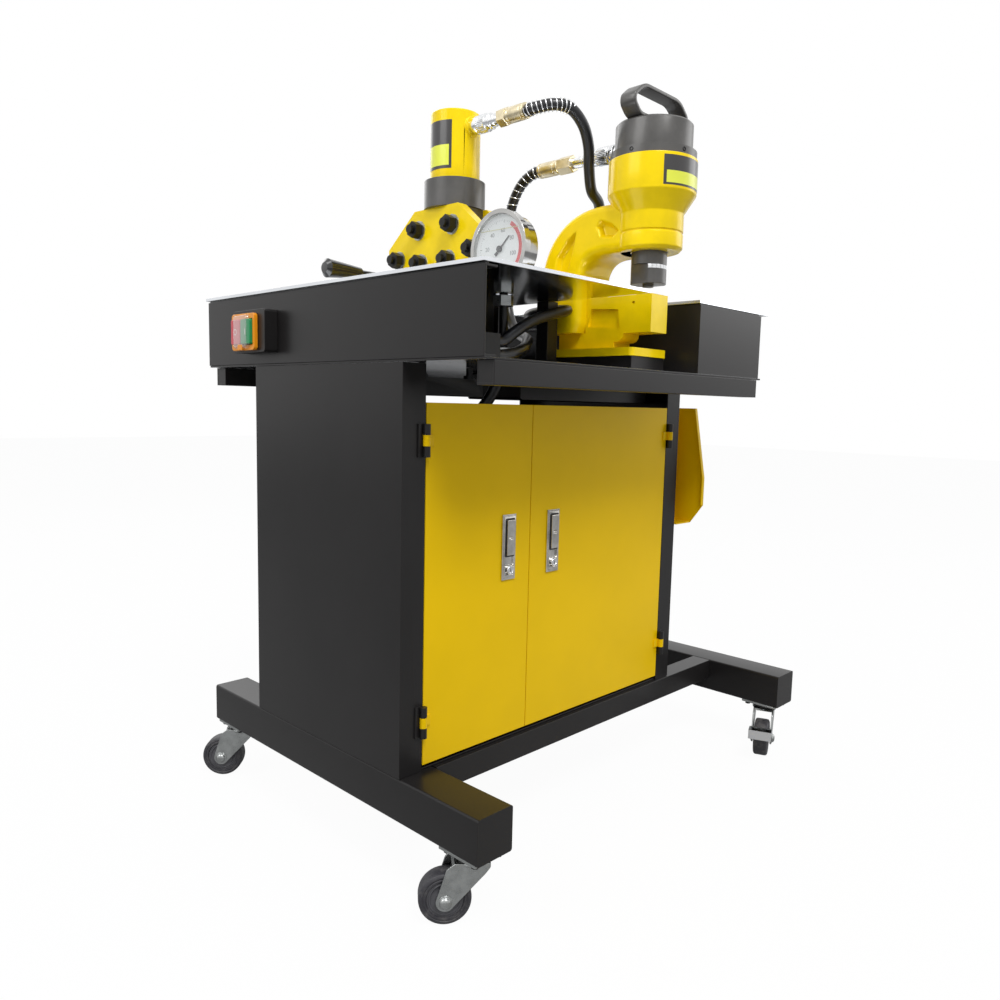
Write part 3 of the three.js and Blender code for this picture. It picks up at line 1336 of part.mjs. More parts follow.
function buildHoses() {
  const cutterCoupling = couplingShape(cutter.x, hoseZ.cutterPort, cutterPortY - seat, -1,
    cutterCouplingLengths);
  addPart("cutter_coupling", cutterCoupling.body, "brass");
  const startA = cutterCoupling.end - seat;
  const hoseA = hoseCurve(fromDeck([
    [cutter.x, startA, hoseRise.cutterPort],
    [cutter.x, startA - 14, hoseRise.cutterPort],
    [314, startA - 42, 415.7],
    [340, 167, 413.7],
    [366, 161, 393.7],
    [386, 164, 365.7],
    [399, 172, 337.7],
    [418, 180, 303.7],
    [446, 186, 289.7],
    [468, 198, 262.7],
    [483, 216, 221.7],
    [484, 240, 168.7],
    [483, 268, 130.7],
    [464, 291, 106.7],
    [430, 300, 98.7],
    [396, 294, 98.7],
    [374, 270, 100.7],
    [368.8, 232, 102.7],
    [367.5, 187, 101.7],
    [351, 171, 98.7],
    [322, 169, 91.7],
    [290, 171, 82.7],
    [260, 172, 70.7],
    [232, 174, 54.7],
    [manifold.right + 20, hoseEndY.cutterHose, hoseRise.cutterHoseEnd],
    [manifold.right + seat, hoseEndY.cutterHose, hoseRise.cutterHoseEnd],
  ]));
  addPart("cutter_hose", hoseTube(hoseA), "hoseRubber");
  buildSpring("cutter_hose_spring", hoseA, cutterSpringEndShare, springGuard.cutterCurls);

  const punchCoupling = couplingShape(punch.x, hoseZ.punchPort, punchPortY + seat, 1,
    punchCouplingLengths);
  addPart("punch_coupling", punchCoupling.body, "brass");
  const startB = punchCoupling.end + seat;
  const hoseB = hoseCurve(fromDeck([
    [punch.x, startB, hoseRise.punchPort],
    [punch.x, startB + 14, hoseRise.punchPort],
    [punch.x, startB + 44, 343.7],
    [punch.x, startB + 66, 313.7],
    [punch.x, startB + 76, 273.7],
    [punch.x, startB + 80, 213.7],
    [punch.x, startB + 78, 153.7],
    [punch.x - 3, startB + 66, 108.7],
    [412, 344, 80.7],
    [388, 306, 66.7],
    [362, 269, 57.7],
    [331, 237, 50.7],
    [295, 208, 40.7],
    [264, 185, 31.7],
    [234, 176, 22.7],
    [manifold.right + 20, hoseEndY.punchHose, hoseRise.punchHoseEnd],
    [manifold.right + seat, hoseEndY.punchHose, hoseRise.punchHoseEnd],
  ]));
  addPart("punch_hose", hoseTube(hoseB), "hoseRubber");
  buildSpring("punch_hose_spring", hoseB, punchSpringEndShare, springGuard.punchCurls);

  const portTop = cabinetFloorTop + seat + tank.height + tank.portHeight + seat;
  const portRise = portTop - deckTop;
  const supply = hoseCurve(fromDeck([
    [supplyHole.x, supplyHole.y, 0],
    [supplyHole.x, supplyHole.y, -20.3],
    [214, 206, -44.3],
    [192, 212, -72.3],
    [168, 234, -116.3],
    [154, 266, -166.3],
    [tank.portX, tank.portY, -226.3],
    [tank.portX, tank.portY, portRise + hose.radius * 2],
    [tank.portX, tank.portY, portRise],
  ]));
  addPart("supply_hose", hoseTube(supply, hose.supplySteps), "hoseRubber");
}

function buildPowerUnit() {
  const bottom = cabinetFloorTop + seat;
  const top = bottom + tank.height;
  const tankRear = backPanelRear - backPanel.thickness - tank.rearGap;
  const shell = box(tank.left, tank.right, tank.front, tankRear, bottom, top);
  const port = bar("z", [tank.portX, tank.portY], top - seat, top + tank.portHeight, tankPortRadius, smallSides);
  const lid = box(tank.left - tank.lid, tank.right + tank.lid, tank.front - tank.lid, tankRear + tank.lid,
    top - tank.lid, top);
  addPart("oil_tank", join(shell, lid, port), "blackPaint");

  const centre = [(tank.left + tank.right) / 2, (tank.front + tankRear) / 2];
  const motorBottom = top + seat;
  const motorTop = motorBottom + motor.flangeHeight + motor.height;
  const body = bar("z", centre, motorBottom, motorTop, motor.radius, roundSides);
  const flange = bar("z", centre, motorBottom, motorBottom + motor.flangeHeight, motor.flangeRadius);
  const fins = [];
  const finHalf = motor.finWidth / 2;
  for (let i = 0; i < motorFins; i += 1) {
    const fin = box(centre[0], centre[0] + motor.radius + motor.finDepth, centre[1] - finHalf, centre[1] + finHalf,
      motorBottom + motor.flangeHeight * 2, motorTop - motor.flangeHeight);
    const turn = new THREE.Matrix4().makeTranslation(centre[0], centre[1], 0)
      .multiply(new THREE.Matrix4().makeRotationZ((i / motorFins) * Math.PI * 2))
      .multiply(new THREE.Matrix4().makeTranslation(-centre[0], -centre[1], 0));
    fins.push(fin.applyMatrix4(turn));
  }
  const halfBox = motor.boxSize / 2;
  const terminal = box(centre[0] - halfBox, centre[0] + halfBox, centre[1] - motor.radius - motor.boxSize / 2,
    centre[1], motorTop - motor.boxSize * 2, motorTop - motor.boxSize);
  addPart("pump_motor", join(body, flange, ...fins, terminal), "blackPaint");

  const boxTop = deckBottom - seat;
  addPart("control_box", alongY(
    roundedOutline(controlBox.left, controlBox.right, boxTop - controlBox.height, boxTop, controlBox.corner),
    controlBox.front, controlBox.rear), "blackPaint");
}

// The pocket is open at the front and top: a back sheet, a floor, a rear wall and a shaped outer sheet.
function buildPocket() {
  const inner = cabinet.rightFace + seat;
  const outer = inner + pocket.reach;
  const face = outline([
    [pocket.topFront, pocket.top],
    [pocket.front, pocket.knee],
    [pocket.front, pocket.shin],
    [pocket.bottomFront, pocket.bottom],
    [pocket.rear, pocket.bottom],
    [pocket.rear, pocket.top],
  ]);
  const edge = outline([
    [pocket.topFront, pocket.top],
    [pocket.front, pocket.knee],
    [pocket.front, pocket.shin],
    [pocket.front + pocket.sheet, pocket.shin],
    [pocket.front + pocket.sheet, pocket.knee],
    [pocket.topFront + pocket.sheet, pocket.top],
  ]);
  addPart("side_pocket", join(
    alongX(face, outer - pocket.sheet, outer),
    alongX(edge, outer - pocket.flange, outer),
    box(inner, outer, pocket.bottomFront, pocket.rear, pocket.bottom, pocket.bottom + pocket.sheet),
    box(inner, outer, pocket.rear - pocket.sheet, pocket.rear, pocket.bottom, pocket.top),
    box(inner, inner + pocket.sheet, cabinet.front + pocket.flange, pocket.rear, pocket.bottom, pocket.top),
  ), "yellowPaint");
}

buildRunningGear();
buildCabinet();
buildDeck();
buildAprons();
buildTableTop();
buildDoors();
buildSwitch();
buildGauge();
buildManifold();
buildCutter();
buildPunch();
buildHoses();
buildPowerUnit();
buildPocket();

// Centres the machine over its floor outline.
machine.updateMatrixWorld(true);
const extent = new THREE.Box3().setFromObject(machine, true);
machine.position.set(-(extent.min.x + extent.max.x) / 2, -(extent.min.y + extent.max.y) / 2, -extent.min.z);

export default machine;
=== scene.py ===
import json
import logging
import math
from collections.abc import Callable, Sequence
from dataclasses import dataclass, field
from enum import Enum
from typing import Any

import bmesh
import bpy
import numpy as np
from mathutils import Matrix, Vector

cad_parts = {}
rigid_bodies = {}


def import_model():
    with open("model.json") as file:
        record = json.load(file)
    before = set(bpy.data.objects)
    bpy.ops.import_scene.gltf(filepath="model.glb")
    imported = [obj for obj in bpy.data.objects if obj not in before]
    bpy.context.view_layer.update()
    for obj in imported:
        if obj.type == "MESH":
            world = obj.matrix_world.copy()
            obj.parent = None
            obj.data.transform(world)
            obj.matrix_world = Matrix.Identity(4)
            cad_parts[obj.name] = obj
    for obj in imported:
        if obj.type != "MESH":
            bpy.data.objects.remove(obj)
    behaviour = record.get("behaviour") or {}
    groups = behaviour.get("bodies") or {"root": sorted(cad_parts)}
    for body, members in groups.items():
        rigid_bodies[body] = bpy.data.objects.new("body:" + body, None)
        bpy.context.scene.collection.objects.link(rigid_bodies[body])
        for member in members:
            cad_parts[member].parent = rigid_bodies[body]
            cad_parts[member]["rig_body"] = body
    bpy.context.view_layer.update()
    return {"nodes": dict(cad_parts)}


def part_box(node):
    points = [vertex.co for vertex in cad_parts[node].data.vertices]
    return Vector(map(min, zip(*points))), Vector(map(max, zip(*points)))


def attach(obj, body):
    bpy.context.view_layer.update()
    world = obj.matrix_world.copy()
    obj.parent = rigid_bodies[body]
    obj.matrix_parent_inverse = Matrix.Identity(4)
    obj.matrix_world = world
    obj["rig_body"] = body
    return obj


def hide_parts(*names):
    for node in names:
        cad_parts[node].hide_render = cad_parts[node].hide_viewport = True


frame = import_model()

log = logging.getLogger("busbar_machine")

# The types of a finished piece and of groups of sizes.
Piece = bpy.types.Object
Pair = tuple[float, float]
Triple = tuple[float, float, float]
Four = tuple[float, float, float, float]

WHITE = (1.0, 1.0, 1.0, 1.0)
MIX_FIRST, MIX_SECOND, MIX_RESULT = 6, 7, 2  # a Mix node's sockets for colours
SHARP_DEGREES = 32.0  # edges that bend more stay sharp, unless a piece says otherwise
BEVEL_DEGREES = 38.0  # edges that bend more are rounded
FLAT_DEGREES = 0.6  # faces that meet at less become one
CORNER_SHARE = 0.45  # the largest share of a side that a rounding takes
SPAN_STEPS = 24  # samples that a route's length is measured on, between two of its points
RELIEF = 0.01  # how far characters rise, as a share of their size
TINY = 1e-9  # keeps a length out of zero
WELD = 1e-6  # points of a new mesh that lie closer become one, in metres
PACKED_WELD = 2e-5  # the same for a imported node's mesh
LEAST_EDGE = 1e-5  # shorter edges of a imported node's mesh are dissolved
TO_LEFT = np.array([-1.0, 0.0, 0.0])
TO_FRONT = np.array([0.0, -1.0, 0.0])
LABEL_SINK = 0.4  # how far a label's back lies inside its cylinder, in millimetres
LABEL_RISES = (0.25, 0.4)  # how far a label and its panel stand off the cylinder

# Places are given in millimetres from the left foot's outer face, the front ends of the feet and the floor.
MM = 0.001
FOOT_TOP = 170.0
FOOT_LOW, FOOT_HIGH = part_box("left_foot")
ORIGIN = np.array([FOOT_LOW.x, FOOT_LOW.y, FOOT_HIGH.z - FOOT_TOP * MM])


def at(x: float, y: float, z: float) -> np.ndarray:
    """The frame's point for a place in the machine's own millimetres."""
    return ORIGIN + np.array([x, y, z]) * MM


def places(points: Sequence[Sequence[float]]) -> np.ndarray:
    """The frame's points for rows of places in the machine's own millimetres."""
    return ORIGIN + np.asarray(points, float) * MM


class Axis(Enum):
    """The three directions that a turned piece can stand along."""

    X = 0
    Y = 1
    Z = 2


class Graph:
    """The nodes of a material or world, with one method that makes any node."""

    def __init__(self, owner: bpy.types.Material | bpy.types.World,
                 output: str = "ShaderNodeOutputMaterial") -> None:
        """Empties the owner's tree and adds its output.

        Args:
            owner: the material or world whose nodes are built.
            output: the type of its output node.
        """
        self.owner = owner
        owner.use_nodes = True
        self.tree = owner.node_tree
        self.tree.nodes.clear()
        self.output = self.tree.nodes.new(output)

    def feed(self, socket: bpy.types.NodeSocket, item: Any) -> None:
        """Links a value or socket to a socket, or writes a constant there.

        Args:
            socket: the input that is fed.
            item: a Value, a node socket or a constant.
        """
        if isinstance(item, Value):
            self.tree.links.new(item.socket, socket)
        elif isinstance(item, bpy.types.NodeSocket):
            self.tree.links.new(item, socket)
        else:
            socket.default_value = item

    def node(self, kind: str, settings: dict[str, Any], inputs: dict[Any, Any]) -> bpy.types.Node:
        """Makes one node.

        Args:
            kind: the node's type.
            settings: attributes, which are set first.
            inputs: constants or links by socket name or index.

        Returns:
            The new node.
        """
        made = self.tree.nodes.new(kind)
        for name, value in settings.items():
            setattr(made, name, value)
        for name, item in inputs.items():
            self.feed(made.inputs[name], item)
        return made

    def noise(self, scale: Sequence[float], detail: float = 2.0, rough: float = 0.5) -> "Value":
        """A noise from 0 to 1 over the object.

        Args:
            scale: pattern units to a metre along each axis.
            detail: how many finer layers the noise has.
            rough: how strong those layers are.

        Returns:
            The noise as a Value.
        """
        place = self.node("ShaderNodeTexCoord", {}, {}).outputs["Object"]
        mapping = self.node("ShaderNodeMapping", {}, {"Vector": place, "Scale": tuple(scale)})
        made = self.node("ShaderNodeTexNoise", {}, {
            "Vector": mapping.outputs["Vector"], "Scale": 1.0, "Detail": detail, "Roughness": rough})
        return Value(self, made.outputs["Fac"])

    def blend(self, share: Any, low: Sequence[float], high: Sequence[float]) -> bpy.types.NodeSocket:
        """A colour between two colours.

        Args:
            share: 0 gives the first colour and 1 the second.
            low: the first colour.
            high: the second colour.

        Returns:
            The colour socket.
        """
        mix = self.node("ShaderNodeMix", {"data_type": "RGBA"}, {
            "Factor": share, MIX_FIRST: (*low, 1.0), MIX_SECOND: (*high, 1.0)})
        return mix.outputs[MIX_RESULT]

    def bump(self, height: "Value", depth: float) -> bpy.types.NodeSocket:
        """A normal raised by a height pattern, whose full range is depth metres."""
        made = self.node("ShaderNodeBump", {}, {"Height": height, "Distance": depth, "Strength": 1.0})
        return made.outputs["Normal"]

    def show(self, shader: bpy.types.Node) -> None:
        """Links a shader node to the output's surface."""
        self.feed(self.output.inputs["Surface"], shader.outputs[0])

    def show_mix(self, share: Any, first: bpy.types.Node, second: bpy.types.Node) -> None:
        """Shows a mix of two shader nodes.

        Args:
            share: 0 shows the first shader and 1 the second.
            first: the first shader node.
            second: the second shader node.
        """
        self.show(self.node("ShaderNodeMixShader", {}, {0: share, 1: first.outputs[0], 2: second.outputs[0]}))


class Value:
    """A number on a shader socket that Python's operators work on."""

    def __init__(self, graph: Graph, socket: bpy.types.NodeSocket) -> None:
        """Wraps a socket.

        Args:
            graph: the graph that the socket belongs to.
            socket: the output socket that carries the number.
        """
        self.graph = graph
        self.socket = socket

    def sum(self, operation: str, first: Any, second: Any = 0.0) -> "Value":
        """One Math node on two items.

        Args:
            operation: the Math node's operation.
            first: the first item.
            second: the second item.

        Returns:
            The result as a Value.
        """
        made = self.graph.node("ShaderNodeMath", {"operation": operation}, {0: first, 1: second})
        return Value(self.graph, made.outputs[0])

    def __add__(self, other: Any) -> "Value":
        """self + other."""
        return self.sum("ADD", self, other)

    def __radd__(self, other: Any) -> "Value":
        """other + self."""
        return self.sum("ADD", other, self)

    def __sub__(self, other: Any) -> "Value":
        """self - other."""
        return self.sum("SUBTRACT", self, other)

    def __rsub__(self, other: Any) -> "Value":
        """other - self."""
        return self.sum("SUBTRACT", other, self)

    def __mul__(self, other: Any) -> "Value":
        """self * other."""
        return self.sum("MULTIPLY", self, other)

    def __rmul__(self, other: Any) -> "Value":
        """other * self."""
        return self.sum("MULTIPLY", other, self)

    def above(self, level: float, softness: float) -> "Value":
        """0 below level and 1 above it, with a soft step between.

        Args:
            level: the middle of the step.
            softness: the step's whole width.

        Returns:
            The step as a Value.
        """
        made = self.graph.node("ShaderNodeMapRange", {"interpolation_type": "SMOOTHSTEP"}, {
            "Value": self, "From Min": level - softness / 2, "From Max": level + softness / 2})
        return Value(self.graph, made.outputs["Result"])


@dataclass(frozen=True)
class Finish:
    """A surface finish: its colour, gloss and fine texture, all sizes in metres."""

    name: str
    slot: str
    colour: Triple
    roughness: float
    metallic: float = 0.0
    coat: float = 0.0
    coat_roughness: float = 0.1
    specular: float = 0.5
    glint: Triple = (1.0, 1.0, 1.0)
    tone: float = 0.05
    tone_scale: float = 9.0
    grain: float = 0.05
    grain_scale: Triple = (700.0, 700.0, 700.0)
    depth: float = 8e-6

    def toned(self, share: float) -> tuple[float, ...]:
        """The colour made darker or lighter by a share, and never past 1."""
        return tuple(min(channel * share, 1.0) for channel in self.colour)

    def vary(self, graph: Graph) -> dict[str, Any]:
        """What changes over the surface: tone in soft clouds, gloss and height in the fine grain.

        Args:
            graph: the material's graph.

        Returns:
            Links by the shader's socket name.
        """
        clouds = graph.noise((self.tone_scale,) * 3, detail=3.0, rough=0.6)
        fine = graph.noise(self.grain_scale)
        share = clouds.above(0.5, softness=0.5)
        return {
            "Base Color": graph.blend(share, self.toned(1 - self.tone), self.toned(1 + self.tone)),
            "Roughness": (fine - 0.5) * self.grain + clouds * self.grain + (self.roughness - self.grain / 2),
            "Normal": graph.bump(fine, self.depth),
        }

    def shade(self, graph: Graph) -> None:
        """Builds the shader: constants on its sockets, and links where the surface varies.

        Args:
            graph: the material's graph.
        """
        constants = {
            "Base Color": (*self.colour, 1.0), "Roughness": self.roughness, "Metallic": self.metallic,
            "Coat Weight": self.coat, "Coat Roughness": self.coat_roughness,
            "Specular IOR Level": self.specular, "Specular Tint": (*self.glint, 1.0)}
        graph.show(graph.node("ShaderNodeBsdfPrincipled", {}, {**constants, **self.vary(graph)}))
        graph.owner.diffuse_color = (*self.colour, 1.0)

    def material(self) -> bpy.types.Material:
        """The finish as a material, made once.

        Returns:
            The material.
        """
        known = bpy.data.materials.get(self.name)
        if known:
            return known
        made = bpy.data.materials.new(self.name)
        self.shade(Graph(made))
        return made


@dataclass(frozen=True)
class Brushed(Finish):
    """Bright metal with fine lines along one direction and faint handling marks."""

    lines: Triple = (25.0, 1400.0, 1400.0)

    def vary(self, graph: Graph) -> dict[str, Any]:
        """Long thin lines in gloss and height, under broad soft marks in tone.

        Args:
            graph: the material's graph.

        Returns:
            Links by the shader's socket name.
        """
        lines = graph.noise(self.lines, detail=3.0, rough=0.7)
        marks = graph.noise((self.tone_scale,) * 3, detail=4.0, rough=0.6)
        share = marks.above(0.5, softness=0.6)
        gloss = (lines - 0.5) * self.grain * 2 + marks * self.grain
        return {
            "Base Color": graph.blend(share, self.toned(1 - self.tone), self.colour),
            "Roughness": gloss + (self.roughness - self.grain / 2),
            "Normal": graph.bump(lines, self.depth),
        }


@dataclass(frozen=True)
class WornRubber(Finish):
    """Rubber with a dusty bloom where the fine noise is high."""

    dust: Triple = (0.2, 0.19, 0.18)
    dust_scale: float = 60.0
    dust_level: float = 0.58

    def vary(self, graph: Graph) -> dict[str, Any]:
        """Dust in small patches that are paler and rougher than the rubber.

        Args:
            graph: the material's graph.

        Returns:
            Links by the shader's socket name.
        """
        clouds = graph.noise((self.dust_scale,) * 3, detail=5.0, rough=0.7)
        patches = clouds.above(self.dust_level, softness=0.25)
        fine = graph.noise(self.grain_scale)
        return {
            "Base Color": graph.blend(patches * self.tone, self.colour, self.dust),
            "Roughness": patches * self.grain + (self.roughness - self.grain / 2),
            "Normal": graph.bump(fine, self.depth),
        }


BLACK_PAINT = Finish("black_powder_coat", "black_paint", (0.0125, 0.0115, 0.0115), 0.32,
                     specular=0.3, tone=0.14, tone_scale=5.0, grain=0.06, depth=1.2e-5)
YELLOW_PAINT = Finish("yellow_enamel", "yellow_paint", (0.9, 0.575, 0.0015), 0.3, coat=0.04,
                      coat_roughness=0.12, specular=0.4, glint=(1.0, 0.78, 0.12), tone=0.03, tone_scale=6.0,
                      grain=0.05, depth=8e-6)
CAST_YELLOW = Finish("yellow_cast_enamel", "yellow_paint", (0.92, 0.66, 0.002), 0.24, coat=0.14,
                     coat_roughness=0.1, glint=(1.0, 0.82, 0.2), tone=0.05, tone_scale=30.0, grain=0.06,
                     grain_scale=(260.0, 260.0, 260.0), depth=5e-5)
PLATE = Brushed("bright_plate", "steel_plate", (0.78, 0.8, 0.83), 0.13, 1.0, tone=0.12, tone_scale=7.0,
                grain=0.08, depth=3e-6)
ZINC = Brushed("zinc_plating", "zinc", (0.44, 0.455, 0.45), 0.3, 1.0, tone=0.3, tone_scale=60.0,
               grain=0.12, lines=(300.0, 300.0, 900.0), depth=6e-6)
BRIGHT_WIRE = Brushed("bright_wire", "zinc", (0.85, 0.86, 0.87), 0.2, 1.0, tone=0.08, tone_scale=90.0,
                      grain=0.08, lines=(500.0, 500.0, 500.0), depth=2e-6)
BEZEL_STEEL = Brushed("bezel_steel", "chrome", (0.55, 0.545, 0.53), 0.12, 1.0, tone=0.25, tone_scale=24.0,
                      grain=0.05, lines=(200.0, 200.0, 200.0), depth=1e-6)
LATCH_CHROME = Brushed("worn_chrome", "chrome", (0.78, 0.76, 0.72), 0.12, 1.0, tone=0.5, tone_scale=34.0,
                       grain=0.06, lines=(200.0, 200.0, 200.0), depth=1e-6)
CHROME = Brushed("polished_chrome", "chrome", (0.8, 0.81, 0.83), 0.09, 1.0, tone=0.04, tone_scale=40.0,
                 grain=0.05, lines=(200.0, 200.0, 200.0), depth=1e-6)
BRASS = Brushed("yellow_zinc", "brass", (0.8, 0.7, 0.48), 0.34, 1.0, tone=0.2, tone_scale=90.0,
                grain=0.1, lines=(900.0, 60.0, 900.0), depth=5e-6)
BLACK_OXIDE = Finish("black_oxide", "black_oxide", (0.014, 0.013, 0.014), 0.3, 0.35, coat=0.2, tone=0.25,
                     tone_scale=45.0, grain=0.1, grain_scale=(500.0, 500.0, 500.0), depth=2e-5)
SATIN_GREY = Finish("satin_blackening", "black_oxide", (0.085, 0.082, 0.078), 0.34, 0.25, coat=0.1, tone=0.12,
                    tone_scale=30.0, grain=0.08, grain_scale=(500.0, 500.0, 500.0), depth=1e-5)
GRIP = Finish("black_bakelite", "black_oxide", (0.01, 0.01, 0.01), 0.16, coat=0.5, tone=0.1, depth=2e-6)
HOSE_COVER = Finish("hose_cover", "hose_rubber", (0.012, 0.012, 0.014), 0.34, tone=0.2, tone_scale=40.0,
                    grain=0.1, grain_scale=(900.0, 900.0, 900.0), depth=1.5e-5)
TYRE = WornRubber("grey_tread", "rubber", (0.032, 0.031, 0.037), 0.55, tone=0.35, grain=0.2,
                  grain_scale=(900.0, 900.0, 900.0), depth=2e-5)
HUB = Finish("grey_hub", "rubber", (0.075, 0.074, 0.082), 0.4, coat=0.15, tone=0.1, tone_scale=60.0,
             grain=0.08, depth=1e-5)
ORANGE = Finish("orange_moulding", "orange_plastic", (0.85, 0.3, 0.006), 0.34, tone=0.04, depth=1e-5)
RED = Finish("red_button", "red_plastic", (0.62, 0.05, 0.07), 0.32, tone=0.05, depth=6e-6)
GREEN = Finish("green_button", "green_plastic", (0.01, 0.26, 0.09), 0.32, tone=0.05, depth=6e-6)
# Black for the gauge pointer, and also painted shade in the key slots and the paddle gaps.
INK_AND_SHADE = Finish("black_ink_and_painted_shade", "pointer_black", (0.012, 0.012, 0.014), 0.5, tone=0.1, depth=1e-6)
RED_INK = Finish("red_print", "pointer_black", (0.62, 0.03, 0.04), 0.5, tone=0.05, depth=1e-6)
GREY_INK = Finish("grey_print", "pointer_black", (0.16, 0.16, 0.17), 0.5, tone=0.1, depth=1e-6)
DIAL_WHITE = Finish("dial_card", "pointer_black", (0.8, 0.8, 0.79), 0.5, tone=0.03, depth=1e-6)
LABEL_BLACK = Finish("label_foil", "black_paint", (0.03, 0.028, 0.028), 0.3, coat=0.3, tone=0.08, depth=2e-6)
LABEL_YELLOW = Finish("label_panel", "yellow_paint", (0.78, 0.83, 0.06), 0.34, coat=0.3, tone=0.05,
                      depth=2e-6)
PRINT_WHITE = Finish("white_print", "pointer_black", (0.85, 0.85, 0.85), 0.45, tone=0.03, depth=1e-6)
OIL = Finish("gauge_oil", "pointer_black", (0.62, 0.58, 0.3), 0.2, coat=0.4, tone=0.05, depth=1e-6)


@dataclass(frozen=True)
class Clear(Finish):
    """Thin clear glass: mostly see-through, with reflections that grow where it is seen edge-on."""

    least: float = 0.05
    most: float = 0.5
    edge_blend: float = 0.4

    def shade(self, graph: Graph) -> None:
        """Mixes see-through and mirror shaders by the facing direction and by faint smears.

        Args:
            graph: the material's graph.
        """
        weight = graph.node("ShaderNodeLayerWeight", {}, {"Blend": self.edge_blend})
        facing = Value(graph, weight.outputs["Facing"])
        smears = graph.noise((self.tone_scale,) * 3, detail=3.0, rough=0.6)
        share = facing * facing * self.most + smears * self.tone + self.least
        through = graph.node("ShaderNodeBsdfTransparent", {}, {"Color": (*self.colour, 1.0)})
        mirror = graph.node("ShaderNodeBsdfAnisotropic", {}, {"Color": WHITE, "Roughness": self.roughness})
        graph.show_mix(share, through, mirror)


GLASS = Clear("gauge_glass", "chrome", (0.97, 0.98, 0.98), 0.03, tone=0.03, tone_scale=30.0)
CLEAR_SKIN = Clear("clear_button_skin", "orange_plastic", (0.94, 0.93, 0.9), 0.16, tone=0.06, tone_scale=60.0,
                   least=0.1, most=0.6)


@dataclass
class Shell:
    """Gathers grids of points into one closed mesh."""

    vertices: list[np.ndarray] = field(default_factory=list)
    faces: list[Sequence[int]] = field(default_factory=list)
    slots: list[int] = field(default_factory=list)
    count: int = 0

    def add(self, grid: np.ndarray, ring: bool = False, caps: bool = True, slot: int = 0) -> "Shell":
        """Adds a grid of points whose neighbours are joined by four-cornered faces.

        Args:
            grid: points by row and column, of which the last column joins the first.
            ring: the last row joins the first.
            caps: the first and last rows are closed by a flat face.
            slot: the material slot of these faces.

        Returns:
            The shell itself.
        """
        rows, columns = grid.shape[:2]
        index = np.arange(rows * columns).reshape(rows, columns) + self.count
        across = np.roll(index, -1, axis=1)
        corners = [index, across, np.roll(across, -1, axis=0), np.roll(index, -1, axis=0)]
        quads = np.stack(corners, axis=-1)[:rows if ring else rows - 1]
        made = quads.reshape(-1, 4).tolist()
        if caps and not ring:
            made.append(index[0][::-1].tolist())
            made.append(index[-1].tolist())
        self.vertices.append(grid.reshape(-1, 3))
        self.faces.extend(made)
        self.slots.extend([slot] * len(made))
        self.count += rows * columns
        return self

    def add_mesh(self, mesh: bpy.types.Mesh) -> "Shell":
        """Adds a ready mesh, whose faces take the first material slot.

        Args:
            mesh: the mesh, in the frame's metres.

        Returns:
            The shell itself.
        """
        points = np.empty(len(mesh.vertices) * 3)
        mesh.vertices.foreach_get("co", points)
        self.vertices.append(points.reshape(-1, 3))
        self.faces.extend([index + self.count for index in polygon.vertices] for polygon in mesh.polygons)
        self.slots.extend([0] * len(mesh.polygons))
        self.count += len(mesh.vertices)
        return self

    def build(self, name: str, finishes: Sequence[Finish], body: str,
              sharp: float = SHARP_DEGREES) -> Piece:
        """Makes the mesh, merges its seams and poles, turns its faces outwards and dresses it.

        Args:
            name: the piece's name.
            finishes: one finish for each slot that the grids name.
            body: the frame's body that the piece rides on.
            sharp: edges that bend more than this many degrees stay sharp.

        Returns:
            The new piece.
        """
        mesh = bpy.data.meshes.new(name)
        mesh.from_pydata(np.concatenate(self.vertices).tolist(), [], self.faces)
        mesh.polygons.foreach_set("material_index", np.array(self.slots, np.int32))
        return dress(name, mesh, finishes, body, sharp)


def linked(name: str, data: bpy.types.ID) -> bpy.types.Object:
    """Makes an object of some data and puts it in the scene.

    Args:
        name: the object's name.
        data: its mesh, curve, lamp or camera.

    Returns:
        The object.
    """
    made = bpy.data.objects.new(name, data)
    bpy.context.scene.collection.objects.link(made)
    return made


def dress(name: str, mesh: bpy.types.Mesh, finishes: Sequence[Finish], body: str,
          sharp: float = SHARP_DEGREES) -> Piece:
    """Cleans a mesh, shades it and makes it a piece that rides on a body.

    Args:
        name: the piece's name.
        mesh: the mesh, in the frame's metres.
        finishes: one finish for each material slot.
        body: the frame's body that the piece rides on.
        sharp: edges that bend more than this many degrees stay sharp.

    Returns:
        The new piece.
    """
    working = bmesh.new()
    working.from_mesh(mesh)
    bmesh.ops.remove_doubles(working, verts=working.verts, dist=WELD)
    bmesh.ops.recalc_face_normals(working, faces=working.faces)
    working.to_mesh(mesh)
    working.free()
    for finish in finishes:
        mesh.materials.append(finish.material())
    mesh.polygons.foreach_set("use_smooth", np.ones(len(mesh.polygons), bool))
    mesh.set_sharp_from_angle(angle=math.radians(sharp))
    piece = linked(name, mesh)
    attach(piece, body)
    return piece


def stood(axis: Axis, along: np.ndarray, first: np.ndarray, second: np.ndarray) -> np.ndarray:
    """Three coordinates stacked into points, so that the first one given runs along an axis.

    Args:
        axis: the direction of the heights.
        along: the heights.
        first: the coordinate in the next direction after the axis.
        second: the coordinate in the direction after that.

    Returns:
        The points.
    """
    order = {Axis.X: (along, first, second), Axis.Y: (second, along, first), Axis.Z: (first, second, along)}
    return np.stack(order[axis], axis=-1)


def turned(profile: Sequence[Sequence[float]], centre: np.ndarray, axis: Axis, sides: int = 48) -> np.ndarray:
    """A surface of revolution: each profile point runs once round the axis at its radius and height.

    Args:
        profile: radius and height of each point, in millimetres.
        centre: the frame's point at height zero.
        axis: the direction of the heights.
        sides: the number of points round.

    Returns:
        The grid of points.
    """
    radius, height = (np.asarray(profile, float) * MM).T
    angle = np.linspace(0, 2 * np.pi, sides, endpoint=False)
    along = np.repeat(height[:, None], sides, axis=1)
    return centre + stood(axis, along, np.outer(radius, np.cos(angle)), np.outer(radius, np.sin(angle)))


